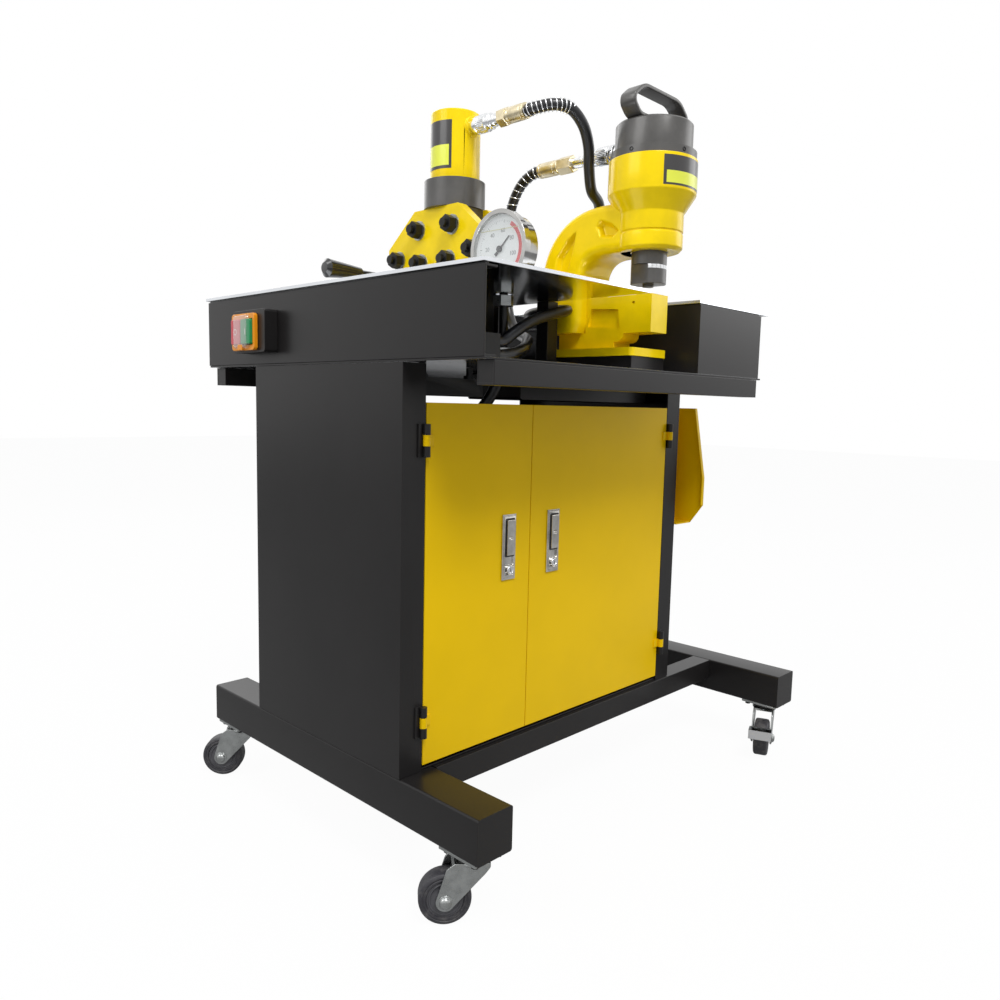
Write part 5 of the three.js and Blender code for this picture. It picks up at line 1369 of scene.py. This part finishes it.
@dataclass
class Gauge:
    """The pressure gauge, its dial, glass and pointer, and the manifold under it."""

    centre: Triple = (220.0, 205.0, 949.0)
    dial_x: float = 226.8
    dial_radius: float = 52.5
    card_thickness: float = 0.15
    glass_x: float = 221.6
    glass_thickness: float = 0.8
    sides: int = 64
    tick_radius: float = 44.5
    tick_rise: float = 0.06
    major_tick: Pair = (4.5, 0.8)  # length and width
    minor_tick: Pair = (2.4, 0.4)
    major_step: int = 5
    number_radius: float = 28.5
    number_size: float = 9.0
    number_rise: float = 0.1
    first_degrees: float = -135.0
    step_degrees: float = 4.85
    steps: int = 55
    number_step: int = 10
    number_share: int = 2
    red_from: float = 30.0
    red_band: Pair = (-4.8, 1.6)  # its inner and outer edge, from the ticks' outer ends
    red_rise: float = 0.1
    oil_height: float = 30.0
    oil_depth: float = 1.0
    oil_end: float = 1.0
    oil_line: Pair = (0.9, 0.2)  # width and thickness
    stem_top: float = 888.0
    nut_levels: Pair = (789.6, 870.7)
    nut_half: float = 8.2
    column_left: float = 200.0

    def on_dial(self, radius: float, degrees: float, rise: float = 0.0) -> np.ndarray:
        """A point on the dial at a radius and a clockwise angle from the top.

        Args:
            radius: the distance from the middle, in millimetres.
            degrees: the angle, clockwise for someone who reads the dial.
            rise: how far it stands off the card, in millimetres.

        Returns:
            The frame's point.
        """
        turn = math.radians(degrees)
        return at(self.dial_x - rise, self.centre[1] - radius * math.sin(turn),
                  self.centre[2] + radius * math.cos(turn))

    def build_card(self) -> Piece:
        """The white card with its ticks, its red arc and the oil's surface line.

        Returns:
            The piece.
        """
        middle = at(self.dial_x, self.centre[1], self.centre[2])
        thick, wide = self.card_thickness, self.dial_radius
        profile = [(0, thick), (wide, thick), (wide, 0), (0, 0)]
        card = Shell().add(turned(profile, middle, Axis.X, self.sides), caps=False)
        for index in range(self.steps + 1):
            degrees = self.first_degrees + self.step_degrees * index
            length, width = self.minor_tick if index % self.major_step else self.major_tick
            ends = [self.on_dial(radius, degrees) for radius in (self.tick_radius - length, self.tick_radius)]
            card.add(strip(*ends, width, TO_LEFT, self.tick_rise), slot=1)
        low, high = (self.tick_radius + edge for edge in self.red_band)
        last = self.first_degrees + self.step_degrees * self.steps
        section = [(low, 0), (high, 0), (high, -self.red_rise), (low, -self.red_rise)]
        card.add(arc_section(section, middle, Axis.X, 90 + self.red_from, 90 + last, steps=60), slot=2)
        half = math.sqrt(self.dial_radius ** 2 - self.oil_height ** 2) - self.oil_end
        level = self.centre[2] + self.oil_height
        ends = [at(self.dial_x - self.oil_depth, self.centre[1] + side * half, level) for side in (1, -1)]
        width, rise = self.oil_line
        card.add(strip(*ends, width, TO_LEFT, rise), slot=3)
        return card.build("gauge_dial", [DIAL_WHITE, GREY_INK, RED_INK, OIL], "frame")

    def build_numbers(self) -> list[Piece]:
        """Plain numbers round the dial.

        Returns:
            One piece for each number.
        """
        pieces = []
        for index in range(0, self.steps, self.number_step):
            degrees = self.first_degrees + self.step_degrees * index
            place = self.on_dial(self.number_radius, degrees, self.number_rise)
            words = str(index * self.number_share)
            mesh = text_mesh(words, self.number_size * MM, place, Vector(TO_FRONT), Vector((0, 0, 1)))
            pieces.append(dress(f"gauge_number_{words}", mesh, [GREY_INK], "frame"))
        return pieces

    def build_glass(self) -> Piece:
        """The thin clear disc behind the bezel's lip.

        Returns:
            The piece.
        """
        middle = at(self.glass_x, self.centre[1], self.centre[2])
        thick, wide = self.glass_thickness, self.dial_radius
        profile = [(0, 0), (wide, 0), (wide, thick), (0, thick)]
        disc = Shell().add(turned(profile, middle, Axis.X, self.sides), caps=False)
        return disc.build("gauge_glass", [GLASS], "frame")

    def case_zones(self, centres: np.ndarray) -> np.ndarray:
        """Picks black for the stem below the case."""
        return (centres[:, 2] < self.stem_top).astype(int)

    def manifold_zones(self, centres: np.ndarray) -> np.ndarray:
        """Picks plating for the two nuts of the column and black for the rest."""
        nuts = [np.abs(centres[:, 2] - level) < self.nut_half for level in self.nut_levels]
        return ((nuts[0] | nuts[1]) & (centres[:, 0] > self.column_left)).astype(int)

    def build(self) -> list[Piece]:
        """Builds every piece of the gauge.

        Returns:
            The pieces.
        """
        return [Skin("gauge_case", [BEZEL_STEEL, BLACK_OXIDE], edge=2.4, segments=4,
                     zones=self.case_zones).build(),
                Skin("gauge_pointer", [INK_AND_SHADE], edge=0.15).build(),
                Skin("valve_manifold", [BLACK_OXIDE, ZINC], edge=0.8, zones=self.manifold_zones).build(),
                self.build_card(), self.build_glass(), *self.build_numbers()]


def bent_label(name: str, centre: np.ndarray, radius: float, label: Sequence[float],
               panel: Sequence[float]) -> Piece:
    """A bare black label with an empty yellow panel, bent round an upright cylinder.

    Args:
        name: the piece's name.
        centre: the frame's point on the cylinder's axis at height zero.
        radius: the cylinder's radius, in millimetres.
        label: the degrees where the label starts and ends, and its lowest and highest height.
        panel: the same for the panel.

    Returns:
        The piece.
    """
    shell = Shell()
    inner = radius - LABEL_SINK
    for slot, (start, end, low, high) in enumerate((label, panel)):
        outer = radius + LABEL_RISES[slot]
        section = [(inner, low), (outer, low), (outer, high), (inner, high)]
        shell.add(arc_section(section, centre, Axis.Z, start, end), slot=slot)
    return shell.build(name, [LABEL_BLACK, LABEL_YELLOW], "frame")


@dataclass
class Cutter:
    """The hydraulic cutting head with its plates, nuts, collar, cylinder and clamp lever."""

    centre: Triple = (298.0, 390.0, 0.0)
    left_face: float = 254.0
    washer: float = 2.0
    play: float = 0.1
    lever_y: float = 455.0
    lever_half: float = 13.2
    ear_top: float = 934.5
    ear_left: float = 233.0
    radius: float = 43.5
    yellow_foot: float = 884.0
    # Where the label and its panel start and end in degrees, and their lowest and highest height.
    label: Four = (148.0, 219.0, 1107.0, 1186.0)
    panel: Four = (154.0, 213.0, 1112.0, 1146.0)

    def plate_zones(self, centres: np.ndarray) -> np.ndarray:
        """Picks black for nuts and bolt ends, bright plating for their washers, yellow for plate and ears.

        Args:
            centres: the middles of the faces, in the machine's millimetres.

        Returns:
            The material slot of each face.
        """
        ear = (np.abs(centres[:, 1] - self.lever_y) < self.lever_half) & (centres[:, 2] < self.ear_top)
        out = (centres[:, 0] < self.left_face - self.play) & ~(ear & (centres[:, 0] > self.ear_left))
        washer = out & (centres[:, 0] >= self.left_face - self.washer - self.play / 2)
        return np.where(washer, 2, np.where(out | (centres[:, 2] < self.yellow_foot), 1, 0))

    def body_zones(self, centres: np.ndarray) -> np.ndarray:
        """Picks black for the lower part, which hangs under the table."""
        return (centres[:, 2] < self.yellow_foot).astype(int)

    def build(self) -> list[Piece]:
        """Builds every piece of the cutting head.

        Returns:
            The pieces.
        """
        return [
            Skin("cutter_left_plate", [CAST_YELLOW, BLACK_OXIDE, ZINC], edge=1.6, segments=3,
                 zones=self.plate_zones, cuts=(self.yellow_foot,)).build(),
            Skin("cutter_body", [CAST_YELLOW, BLACK_OXIDE], edge=1.2, zones=self.body_zones,
                 cuts=(self.yellow_foot,)).build(),
            Skin("cutter_cylinder", [CAST_YELLOW], edge=1.6, segments=3).build(),
            Skin("cutter_collar", [SATIN_GREY], edge=1.0).build(),
            Skin("cutter_blade", [ZINC], edge=0.3).build(),
            Skin("clamp_lever", [GRIP], edge=1.2, segments=3).build(),
            bent_label("cutter_label", at(*self.centre), self.radius, self.label, self.panel),
        ]


@dataclass
class Punch:
    """The C-frame punching head with its cap, handle, ram and die."""

    centre: Triple = (425.0, 63.0, 0.0)
    head_radius: float = 70.0
    flange_radius: float = 68.0
    flange_z: float = 1101.3
    flange_screws: int = 5
    first_screw_degrees: float = 185.0
    screw: Pair = (3.4, 1.6)  # radius and height of the head
    screw_sink: float = 0.9
    # Where label, panel and ram's ring start and end in degrees, and their lowest and highest height.
    label: Four = (228.0, 300.0, 1046.0, 1090.0)
    panel: Four = (232.0, 296.0, 1049.0, 1067.0)
    ring: Four = (212.0, 296.0, 929.0, 935.0)
    ring_turns: tuple[Pair, ...] = ((0.0, 0.0), (145.0, 101.5))  # what its two bands add to start and end
    ring_groove: float = 0.5
    ring_section: Triple = (0.3, 0.5, 0.4)  # how far it stands out and goes in, and its edges' softening
    ram_radius: float = 28.5
    handle_bottom: float = 1151.6
    handle_line: tuple[Pair, ...] = (
        (-37.0, 3.0), (-57.0, 3.0), (-72.0, 17.0), (-72.0, 28.0), (-49.0, 47.0), (49.0, 47.0), (72.0, 28.0),
        (72.0, 17.0), (57.0, 3.0), (37.0, 3.0))
    handle_half: float = 14.0
    strap_half: float = 3.0
    strap_corner: float = 1.6
    strap_bend: float = 13.0
    strap_stations: int = 160
    foot_screw: float = 47.0
    foot_screw_head: Pair = (6.0, 4.2)  # radius and height
    screw_seat: float = 0.2
    # The head's radius at each height, and the arm's two lines and its pockets from the front and the floor.
    head: tuple[Pair, ...] = (
        (0, 1002), (28.8, 1002), (28.8, 956), (47, 956), (52, 961), (52, 982), (50.4, 982.4), (50.4, 985.6),
        (52, 986), (52, 1014), (70, 1042), (70, 1095), (0, 1095))
    head_corner: float = 1.4
    head_sides: int = 112
    arm_half: float = 45.0
    arm_round: float = 14.0
    arm_bend: float = 12.0
    arm_stations: int = 121
    flank_points: int = 44
    side_points: int = 5
    arm_outer: tuple[Pair, ...] = (
        (63, 1034), (140, 1034), (166, 1031), (192, 1023), (215, 1009), (235, 989), (249, 965), (257, 938),
        (259, 908), (259, 848), (243, 832.1))
    arm_inner: tuple[Pair, ...] = (
        (63, 956), (133, 956), (148, 953), (160, 945), (168, 932), (170, 915), (170, 846), (176, 832.1))
    arm_pockets: tuple[tuple[Pair, ...], ...] = (
        ((91, 988), (106, 1002), (131, 1011), (138, 1000), (130, 981), (106, 977)),
        ((178, 1000), (200, 986), (222, 960), (226, 922), (198, 922), (186, 962)))
    pocket_depth: float = 11.0
    pocket_slope: float = 7.0
    cut_low: Pair = (300.0, -60.0)
    cut_high: Triple = (560.0, 300.0, 1200.0)
    jaw_top: float = 889.1
    heel: float = 832.2
    throat: float = 170.8

    def arm_grid(self) -> np.ndarray:
        """The arm: between an inner and an outer line, a ring with round corners, sunk where the pockets are.

        Each station's ring runs up one flank, over the outer side, down the other flank and back over the
        inner side. A flank's points move inwards by the pocket's depth times a smooth step of their distance
        inside it.

        Returns:
            The grid of points.
        """
        outer, inner = (resampled(softened(line, self.arm_bend, steps=6), self.arm_stations)
                        for line in (self.arm_outer, self.arm_inner))
        length = np.linalg.norm(outer - inner, axis=1)[:, None]
        rest = self.arm_half - self.arm_round
        turn = np.linspace(0, np.pi / 2, 7)[1:-1]
        side = np.linspace(0, 1, self.flank_points)
        edge, middle = side * 0 + self.arm_half, np.linspace(-rest, rest, self.side_points)
        rise = np.broadcast_to(self.arm_round * (1 - np.sin(turn))[None], (len(length), len(turn)))
        flank = self.arm_round + side * (length - 2 * self.arm_round)
        corner = rest + self.arm_round * np.cos(turn)
        far = np.repeat(length, self.side_points, axis=1)
        columns = [(-edge, flank), (-corner, length - rise), (middle, far),
                   (corner[::-1], length - rise[:, ::-1]), (edge, flank[:, ::-1]), (corner, rise),
                   (middle[::-1], far * 0), (-corner[::-1], rise[:, ::-1])]
        across = np.concatenate([item[0] for item in columns])[None] + length * 0
        reach = np.concatenate([item[1] for item in columns], axis=1) / length
        flat = inner[:, None] + (outer - inner)[:, None] * reach[..., None]
        for pocket in self.arm_pockets:
            share = np.clip(depth_inside(flat, np.array(pocket, float)) / self.pocket_slope, 0, 1)
            sunk = self.pocket_depth * share * share * (3 - 2 * share)
            across = across - np.sign(across) * np.where(np.abs(across) > rest, sunk, 0)
        return places(np.stack([self.centre[0] + across, flat[..., 0], flat[..., 1]], axis=-1))

    def build_frame(self) -> Piece:
        """The casting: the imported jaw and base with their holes, and a smooth arm and head for the rest.

        Returns:
            The piece.
        """
        left, front = self.cut_low
        lower = without(merged_copy("punch_frame"), (left, front, self.jaw_top), self.cut_high)
        lower = without(lower, (left, self.throat, self.heel), self.cut_high)
        shell = Shell().add_mesh(lower).add(self.arm_grid())
        head = turned(softened(self.head, self.head_corner), at(*self.centre), Axis.Z, self.head_sides)
        shell.add(head, caps=False)
        piece = shell.build("punch_frame_finished", [CAST_YELLOW], "frame", sharp=34.0)
        soft_edges(piece, width=1.8, segments=3)
        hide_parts("punch_frame")
        return piece

    def build_handle(self) -> Piece:
        """The bent strap and its two foot screws: a rounded section carried along the strap's line.

        Returns:
            The piece.
        """
        line = resampled(softened(self.handle_line, self.strap_bend, steps=8), self.strap_stations)
        slope = np.gradient(line, axis=0)
        slope /= np.linalg.norm(slope, axis=1)[:, None]
        normal = np.stack([-slope[:, 1], slope[:, 0]], axis=1)
        section = rounded_ring(self.handle_half, self.strap_half, self.strap_corner, steps=3)
        flat = line[:, None] + normal[:, None] * section[None, :, 1, None]
        width = np.broadcast_to(section[None, :, 0], flat.shape[:2])
        x, y = self.centre[:2]
        strap = np.stack([x + flat[..., 0], y + width, self.handle_bottom + flat[..., 1]], axis=-1)
        shell = Shell().add(places(strap))
        for side in (-1, 1):
            top = self.handle_bottom + 2 * self.strap_half - self.screw_seat
            seat = at(x + side * self.foot_screw, y, top)
            shell.add(turned(screw_profile(*self.foot_screw_head), seat, Axis.Z, sides=32), caps=False)
        piece = shell.build("punch_handle_finished", [SATIN_GREY], "frame", sharp=40.0)
        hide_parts("punch_handle")
        return piece

    def build_screws(self) -> Piece:
        """The small socket screws round the cap's flange.

        Returns:
            The piece.
        """
        middle = at(self.centre[0], self.centre[1], self.flange_z)
        seat = middle + np.array([(self.flange_radius - self.screw_sink) * MM, 0, 0])
        head = turned(screw_profile(*self.screw), seat, Axis.X, sides=24)
        shell = Shell()
        for index in range(self.flange_screws):
            degrees = self.first_screw_degrees + 360 / self.flange_screws * index
            shell.add(spun(head, middle, degrees), caps=False)
        return shell.build("cap_flange_screws", [BLACK_OXIDE], "frame")

    def build_ring(self) -> Piece:
        """The bright ribbed band on the round sides of the ram's holder.

        Returns:
            The piece.
        """
        start, end, low, high = self.ring
        rise, sink, edge = self.ring_section
        outer, inner = self.ram_radius + rise, self.ram_radius - sink
        section = [(inner, low), (outer - rise, low), (outer, low + edge), (outer, high - edge),
                   (outer - rise, high), (inner, high)]
        middle = at(*self.centre)
        shell = Shell()
        for from_turn, to_turn in self.ring_turns:
            band = arc_section(section, middle, Axis.Z, start + from_turn, end + to_turn, steps=64)
            offset = band[::2, 2:4] - middle
            offset[..., 2] = 0
            length = np.linalg.norm(offset, axis=-1, keepdims=True)
            band[::2, 2:4] -= offset / length * self.ring_groove * MM
            shell.add(band)
        return shell.build("ram_band", [BRIGHT_WIRE], "ram", sharp=20.0)

    def build(self) -> list[Piece]:
        """Builds every piece of the punching head.

        Returns:
            The pieces.
        """
        return [
            self.build_frame(),
            Skin("punch_cap", [SATIN_GREY], edge=1.0).build(),
            Skin("punch_ram", [SATIN_GREY], edge=0.8).build(),
            Skin("punch_die", [ZINC], edge=0.5).build(),
            Skin("punch_base_block", [BLACK_PAINT], edge=0.8).build(),
            self.build_handle(),
            bent_label("punch_label", at(*self.centre), self.head_radius, self.label, self.panel),
            self.build_screws(), self.build_ring(),
        ]


@dataclass(frozen=True)
class Coupling:
    """A quick coupling that runs along Y from a port: socket, adaptor, hexagon and hose sleeve.

    The ribs are counted in rings of the softened profile: the first that has them and the one after the last.
    """

    node: str
    x: float
    z: float
    port_y: float
    side: int
    socket: float
    adaptor: float
    hex: float
    sleeve: float
    ribs: tuple[int, int]
    across: float = 26.0
    rib_depth: float = 0.55

    def build(self) -> Piece:
        """Builds the coupling in bright plating and brass, in place of its node.

        Returns:
            The piece.
        """
        centre = at(self.x, self.port_y, self.z)
        s, a, length = self.side, self.socket, self.sleeve
        b = a + self.adaptor
        c = b + self.hex
        shell = Shell()
        body = softened([(0, 0), (12, 0), (12, 0.12 * a), (14.6, 0.14 * a), (14.6, 0.3 * a),
                         (13.4, 0.32 * a), (13.4, 0.38 * a), (14.8, 0.4 * a), (14.8, 0.76 * a),
                         (13.2, 0.8 * a), (13.2, 0.96 * a), (10.5, a), (10.5, a + 0.4 * self.adaptor),
                         (9.2, a + 0.46 * self.adaptor), (9.2, b + 0.4), (0, b + 0.4)], radius=0.5, steps=2)
        grid = turned([(radius, s * height) for radius, height in body], centre, Axis.Y, sides=72)
        shell.add(knurled(grid, centre, Axis.Y, *self.ribs, self.rib_depth), caps=False)
        shell.add(hexagon(centre, Axis.Y, s * b, s * c, self.across), slot=1)
        sleeve = softened([(0, c - 0.3), (11.5, c - 0.3), (12.8, c + 1.2), (12.8, c + 0.12 * length),
                           (12.0, c + 0.15 * length), (12.0, c + 0.2 * length), (12.9, c + 0.23 * length),
                           (12.9, c + 0.8 * length), (12.1, c + 0.83 * length), (12.1, c + 0.87 * length),
                           (12.7, c + 0.9 * length), (12.7, c + length - 0.8), (9.5, c + length),
                           (0, c + length)], radius=0.4, steps=2)
        grid = turned([(radius, s * height) for radius, height in sleeve], centre, Axis.Y)
        shell.add(grid, caps=False, slot=1)
        piece = shell.build(f"{self.node}_finished", [BRIGHT_WIRE, BRASS], "frame", sharp=24.0)
        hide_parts(self.node)
        return piece


@dataclass(frozen=True)
class Hose:
    """A hose along a route, with a helical spring guard on its first stretch if it has one."""

    node: str
    points: tuple[Triple, ...]
    spring_node: str = ""
    radius: float = 9.1
    spring_end: float = 0.0
    curls: int = 0
    wire: float = 0.95
    clearance: float = 0.35
    seat: float = 0.3
    turn_steps: int = 24
    stations: int = 320
    sharp: float = 60.0

    def build_spring(self, path: np.ndarray) -> Piece:
        """The guard: a wire whose middle circles the hose at a fixed distance while it moves along it.

        Args:
            path: the hose's stations.

        Returns:
            The piece.
        """
        normals, binormals = carried_frames(path)
        length = np.linalg.norm(np.diff(path, axis=0), axis=1).sum()
        start = (2 * self.wire + self.seat) * MM / length
        share = np.linspace(start, self.spring_end, self.curls * self.turn_steps + 1)
        station = share * (len(path) - 1)
        known = np.arange(len(path))
        centre, normal, binormal = (
            np.stack([np.interp(station, known, rows[:, i]) for i in range(3)], axis=1)
            for rows in (path, normals, binormals))
        angle = (np.arange(len(share)) / self.turn_steps * 2 * np.pi)[:, None]
        reach = (self.radius + self.clearance + self.wire) * MM
        wire = centre + reach * (normal * np.cos(angle) + binormal * np.sin(angle))
        guard = Shell().add(tube(wire, self.wire * MM, sides=10))
        piece = guard.build(f"{self.spring_node}_finished", [BRIGHT_WIRE], "frame", self.sharp)
        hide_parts(self.spring_node)
        return piece

    def build(self) -> list[Piece]:
        """Builds the hose and its guard in place of their nodes.

        Returns:
            The pieces.
        """
        path = route(places(self.points), self.stations)
        cover = Shell().add(tube(path, self.radius * MM, sides=24))
        hose = cover.build(f"{self.node}_finished", [HOSE_COVER], "frame", self.sharp)
        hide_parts(self.node)
        return [hose, self.build_spring(path)] if self.spring_node else [hose]


@dataclass
class Hydraulics:
    """The couplings, hoses and spring guards."""

    couplings: tuple[Coupling, ...] = (
        Coupling("cutter_coupling", x=298.0, z=1178.0, port_y=344.2, side=-1, socket=46.0, adaptor=18.0,
                 hex=18.0, sleeve=40.0, ribs=(21, 23)),
        Coupling("punch_coupling", x=425.0, z=1124.0, port_y=126.3, side=1, socket=58.0, adaptor=42.0,
                 hex=30.0, sleeve=46.0, ribs=(20, 25)))
    cutter_route: tuple[Triple, ...] = (
        (298, 221.9, 1178), (298, 207.9, 1178), (314, 179.9, 1182), (340, 167, 1180), (366, 161, 1160),
        (386, 164, 1132), (399, 172, 1104), (418, 180, 1070), (446, 186, 1056), (468, 198, 1029),
        (483, 216, 988), (484, 240, 935), (483, 268, 897), (464, 291, 873), (430, 300, 865),
        (396, 294, 865), (374, 270, 867), (368.8, 232, 869), (367.5, 187, 868), (351, 171, 865),
        (322, 169, 858), (290, 171, 849), (260, 172, 837), (232, 174, 821), (206, 177, 805),
        (186.3, 177, 805))
    punch_route: tuple[Triple, ...] = (
        (425, 302.6, 1124), (425, 316.6, 1124), (425, 346.6, 1110), (425, 368.6, 1080),
        (425, 378.6, 1040), (425, 382.6, 980), (425, 380.6, 920), (422, 368.6, 875), (412, 344, 847),
        (388, 306, 833), (362, 269, 824), (331, 237, 817), (295, 208, 807), (264, 185, 798),
        (234, 176, 789), (206, 176, 784), (186.3, 176, 784))
    supply_route: tuple[Triple, ...] = (
        (225, 205, 766.3), (225, 205, 746), (214, 206, 722), (192, 212, 694), (168, 234, 650),
        (154, 266, 600), (150, 290, 540), (150, 290, 476.9), (150, 290, 459.9))

    def build(self) -> list[Piece]:
        """Builds the hydraulic lines.

        Returns:
            The pieces.
        """
        pieces = [coupling.build() for coupling in self.couplings]
        for hose in (Hose("cutter_hose", self.cutter_route, "cutter_hose_spring", spring_end=0.09, curls=11),
                     Hose("punch_hose", self.punch_route, "punch_hose_spring", spring_end=0.215, curls=10),
                     Hose("supply_hose", self.supply_route)):
            pieces += hose.build()
        return pieces


@dataclass
class Casters:
    """Four swivel casters, the front right one with a brake pedal."""

    # Each caster's name, the place of its swivel and its turn in degrees.
    places: tuple[tuple[str, float, float, float], ...] = (
        ("front_left", 33.5, 42.0, 141.0), ("rear_left", 33.5, 668.0, 135.0),
        ("front_right", 886.5, 42.0, 202.0), ("rear_right", 886.5, 668.0, 60.0))
    trail: float = 38.0
    radius: float = 37.5
    tread: float = 36.8
    half: float = 14.0
    leg_face: float = 20.0
    leg_gap: float = 3.0
    foot_radius: float = 13.0
    rubber_from: float = 24.0
    fork_edge: float = 0.7
    crown_inset: float = 0.4
    swivel_z: float = 92.7

    def build_wheel(self, corner: str, centre: np.ndarray, yaw: float) -> Piece:
        """A wheel with a rounded tread, rings on its sides, a smooth hub and a bearing cap.

        Args:
            corner: the caster's name.
            centre: the wheel's middle.
            yaw: the turn of the caster in degrees.

        Returns:
            The piece, in place of its node.
        """
        r, w = self.tread, self.half
        side = [(5.4, 10.5), (7.5, 10.5), (8.0, 13.6), (12.5, 13.6), (13.0, 11.2), (19.5, 11.0), (21.0, 12.6),
                (22.5, 12.6), (23.2, 11.6), (25.6, 11.6), (26.4, w), (29.0, w), (29.6, 13.3), (30.6, 13.3),
                (31.2, w), (33.0, w - 0.2), (36.2, w - 2.2), (r, w - 6.0)]
        other = [(radius, -width) for radius, width in reversed(side)]
        profile = softened(side + other, radius=0.7, steps=2)
        grid = turned([*profile, profile[0]], centre, Axis.Y, sides=72)
        rubber = np.nonzero(np.array(profile)[:, 0] > self.rubber_from)[0]
        first, last = rubber[0], rubber[-1]
        shell = Shell()
        for part, slot in ((grid[:first + 1], 1), (grid[first:last + 1], 0), (grid[last:], 1)):
            shell.add(spun(part, centre, yaw), caps=False, slot=slot)
        piece = shell.build(f"{corner}_wheel_finished", [TYRE, HUB], f"{corner}_wheel", sharp=28.0)
        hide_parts(f"{corner}_wheel")
        return piece

    def build_fork(self, corner: str, x: float, y: float, yaw: float) -> Piece:
        """The fork: two broad legs with round feet, a crown, a ball race, the axle and its domed heads.

        The one at the front right also has the brake's two arms.

        Args:
            corner: the caster's name.
            x: the swivel's place across the machine.
            y: its place along the machine.
            yaw: the turn of the caster in degrees.

        Returns:
            The piece, in place of its node.
        """
        top = at(x, y, self.swivel_z)
        axle_z = self.radius - self.swivel_z
        foot = [(self.trail + self.foot_radius * math.cos(angle), axle_z + self.foot_radius * math.sin(angle))
                for angle in np.radians(np.linspace(15, -150, 12))]
        leg = softened([(-23, -0.5), (26, -0.5), (37, -9), *foot, (-16, -16), (-23, -7), (-23, -0.5)],
                       radius=2.0, steps=2)
        inner, outer = self.half + self.leg_gap, self.leg_face
        grids = [prism(leg, top, Axis.Y, side * inner, side * outer) for side in (-1, 1)]
        crown = [(-23, -0.5), (26, -0.5), (30, -4), (-23, -4)]
        grids.append(prism(crown, top, Axis.Y, self.crown_inset - outer, outer - self.crown_inset))
        if corner == "front_right":
            arm = [(self.trail - 10, axle_z + 4), (self.trail + 8, axle_z - 8), (74, -40), (84, -33),
                   (80, -24), (70, -23)]
            outline = softened([*arm, arm[0]], radius=4.0, steps=4)
            grids += [prism(outline, top, Axis.Y, side * inner, side * outer) for side in (-1, 1)]
        rounds = [([(7.3, -6), (22, -6), (24, -4), (24, -1.5), (22.5, 0), (7.3, 0), (7.3, -6)], Axis.Z, top)]
        axle = at(x, y, self.radius) + np.array([self.trail * MM, 0, 0])
        rounds.append(([(0, -outer), (5, -outer), (5, outer), (0, outer)], Axis.Y, axle))
        dome = [(0, 6.0), (3.4, 5.8), (6.2, 4.8), (7.8, 3.2), (8.4, 1.4), (10.5, 1.2), (10.5, -0.1),
                (0, -0.1)]
        rounds.extend(([(r, side * (outer + h)) for r, h in dome], Axis.Y, axle) for side in (-1, 1))
        shell = Shell()
        for grid in grids:
            shell.add(spun(grid, top, yaw))
        for profile, axis, centre in rounds:
            shell.add(spun(turned(profile, centre, axis, sides=40), top, yaw), caps=False)
        piece = shell.build(f"{corner}_fork_finished", [ZINC], f"{corner}_caster")
        soft_edges(piece, self.fork_edge, segments=2)
        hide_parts(f"{corner}_fork")
        return piece

    def build(self) -> list[Piece]:
        """Builds the forks and wheels and dresses the pedal.

        Returns:
            The pieces.
        """
        pieces = []
        for corner, x, y, yaw in self.places:
            turn = math.radians(yaw)
            centre = at(x + self.trail * math.cos(turn), y + self.trail * math.sin(turn), self.radius)
            pieces += [self.build_fork(corner, x, y, yaw), self.build_wheel(corner, centre, yaw)]
        pieces.append(Skin("front_right_brake_pedal", [CHROME], edge=1.6, segments=4).build())
        return pieces


def main() -> None:
    """Builds the stage and the sub-assemblies in order."""
    logging.basicConfig(level=logging.INFO, format="%(message)s")
    Studio().build()
    for assembly in (Cabinet(), Switch(), Gauge(), Cutter(), Punch(), Hydraulics(), Casters()):
        for piece in assembly.build():
            log.info("%s: %s with %d faces", type(assembly).__name__, piece.name, len(piece.data.polygons))


if __name__ == "__main__":
    main()
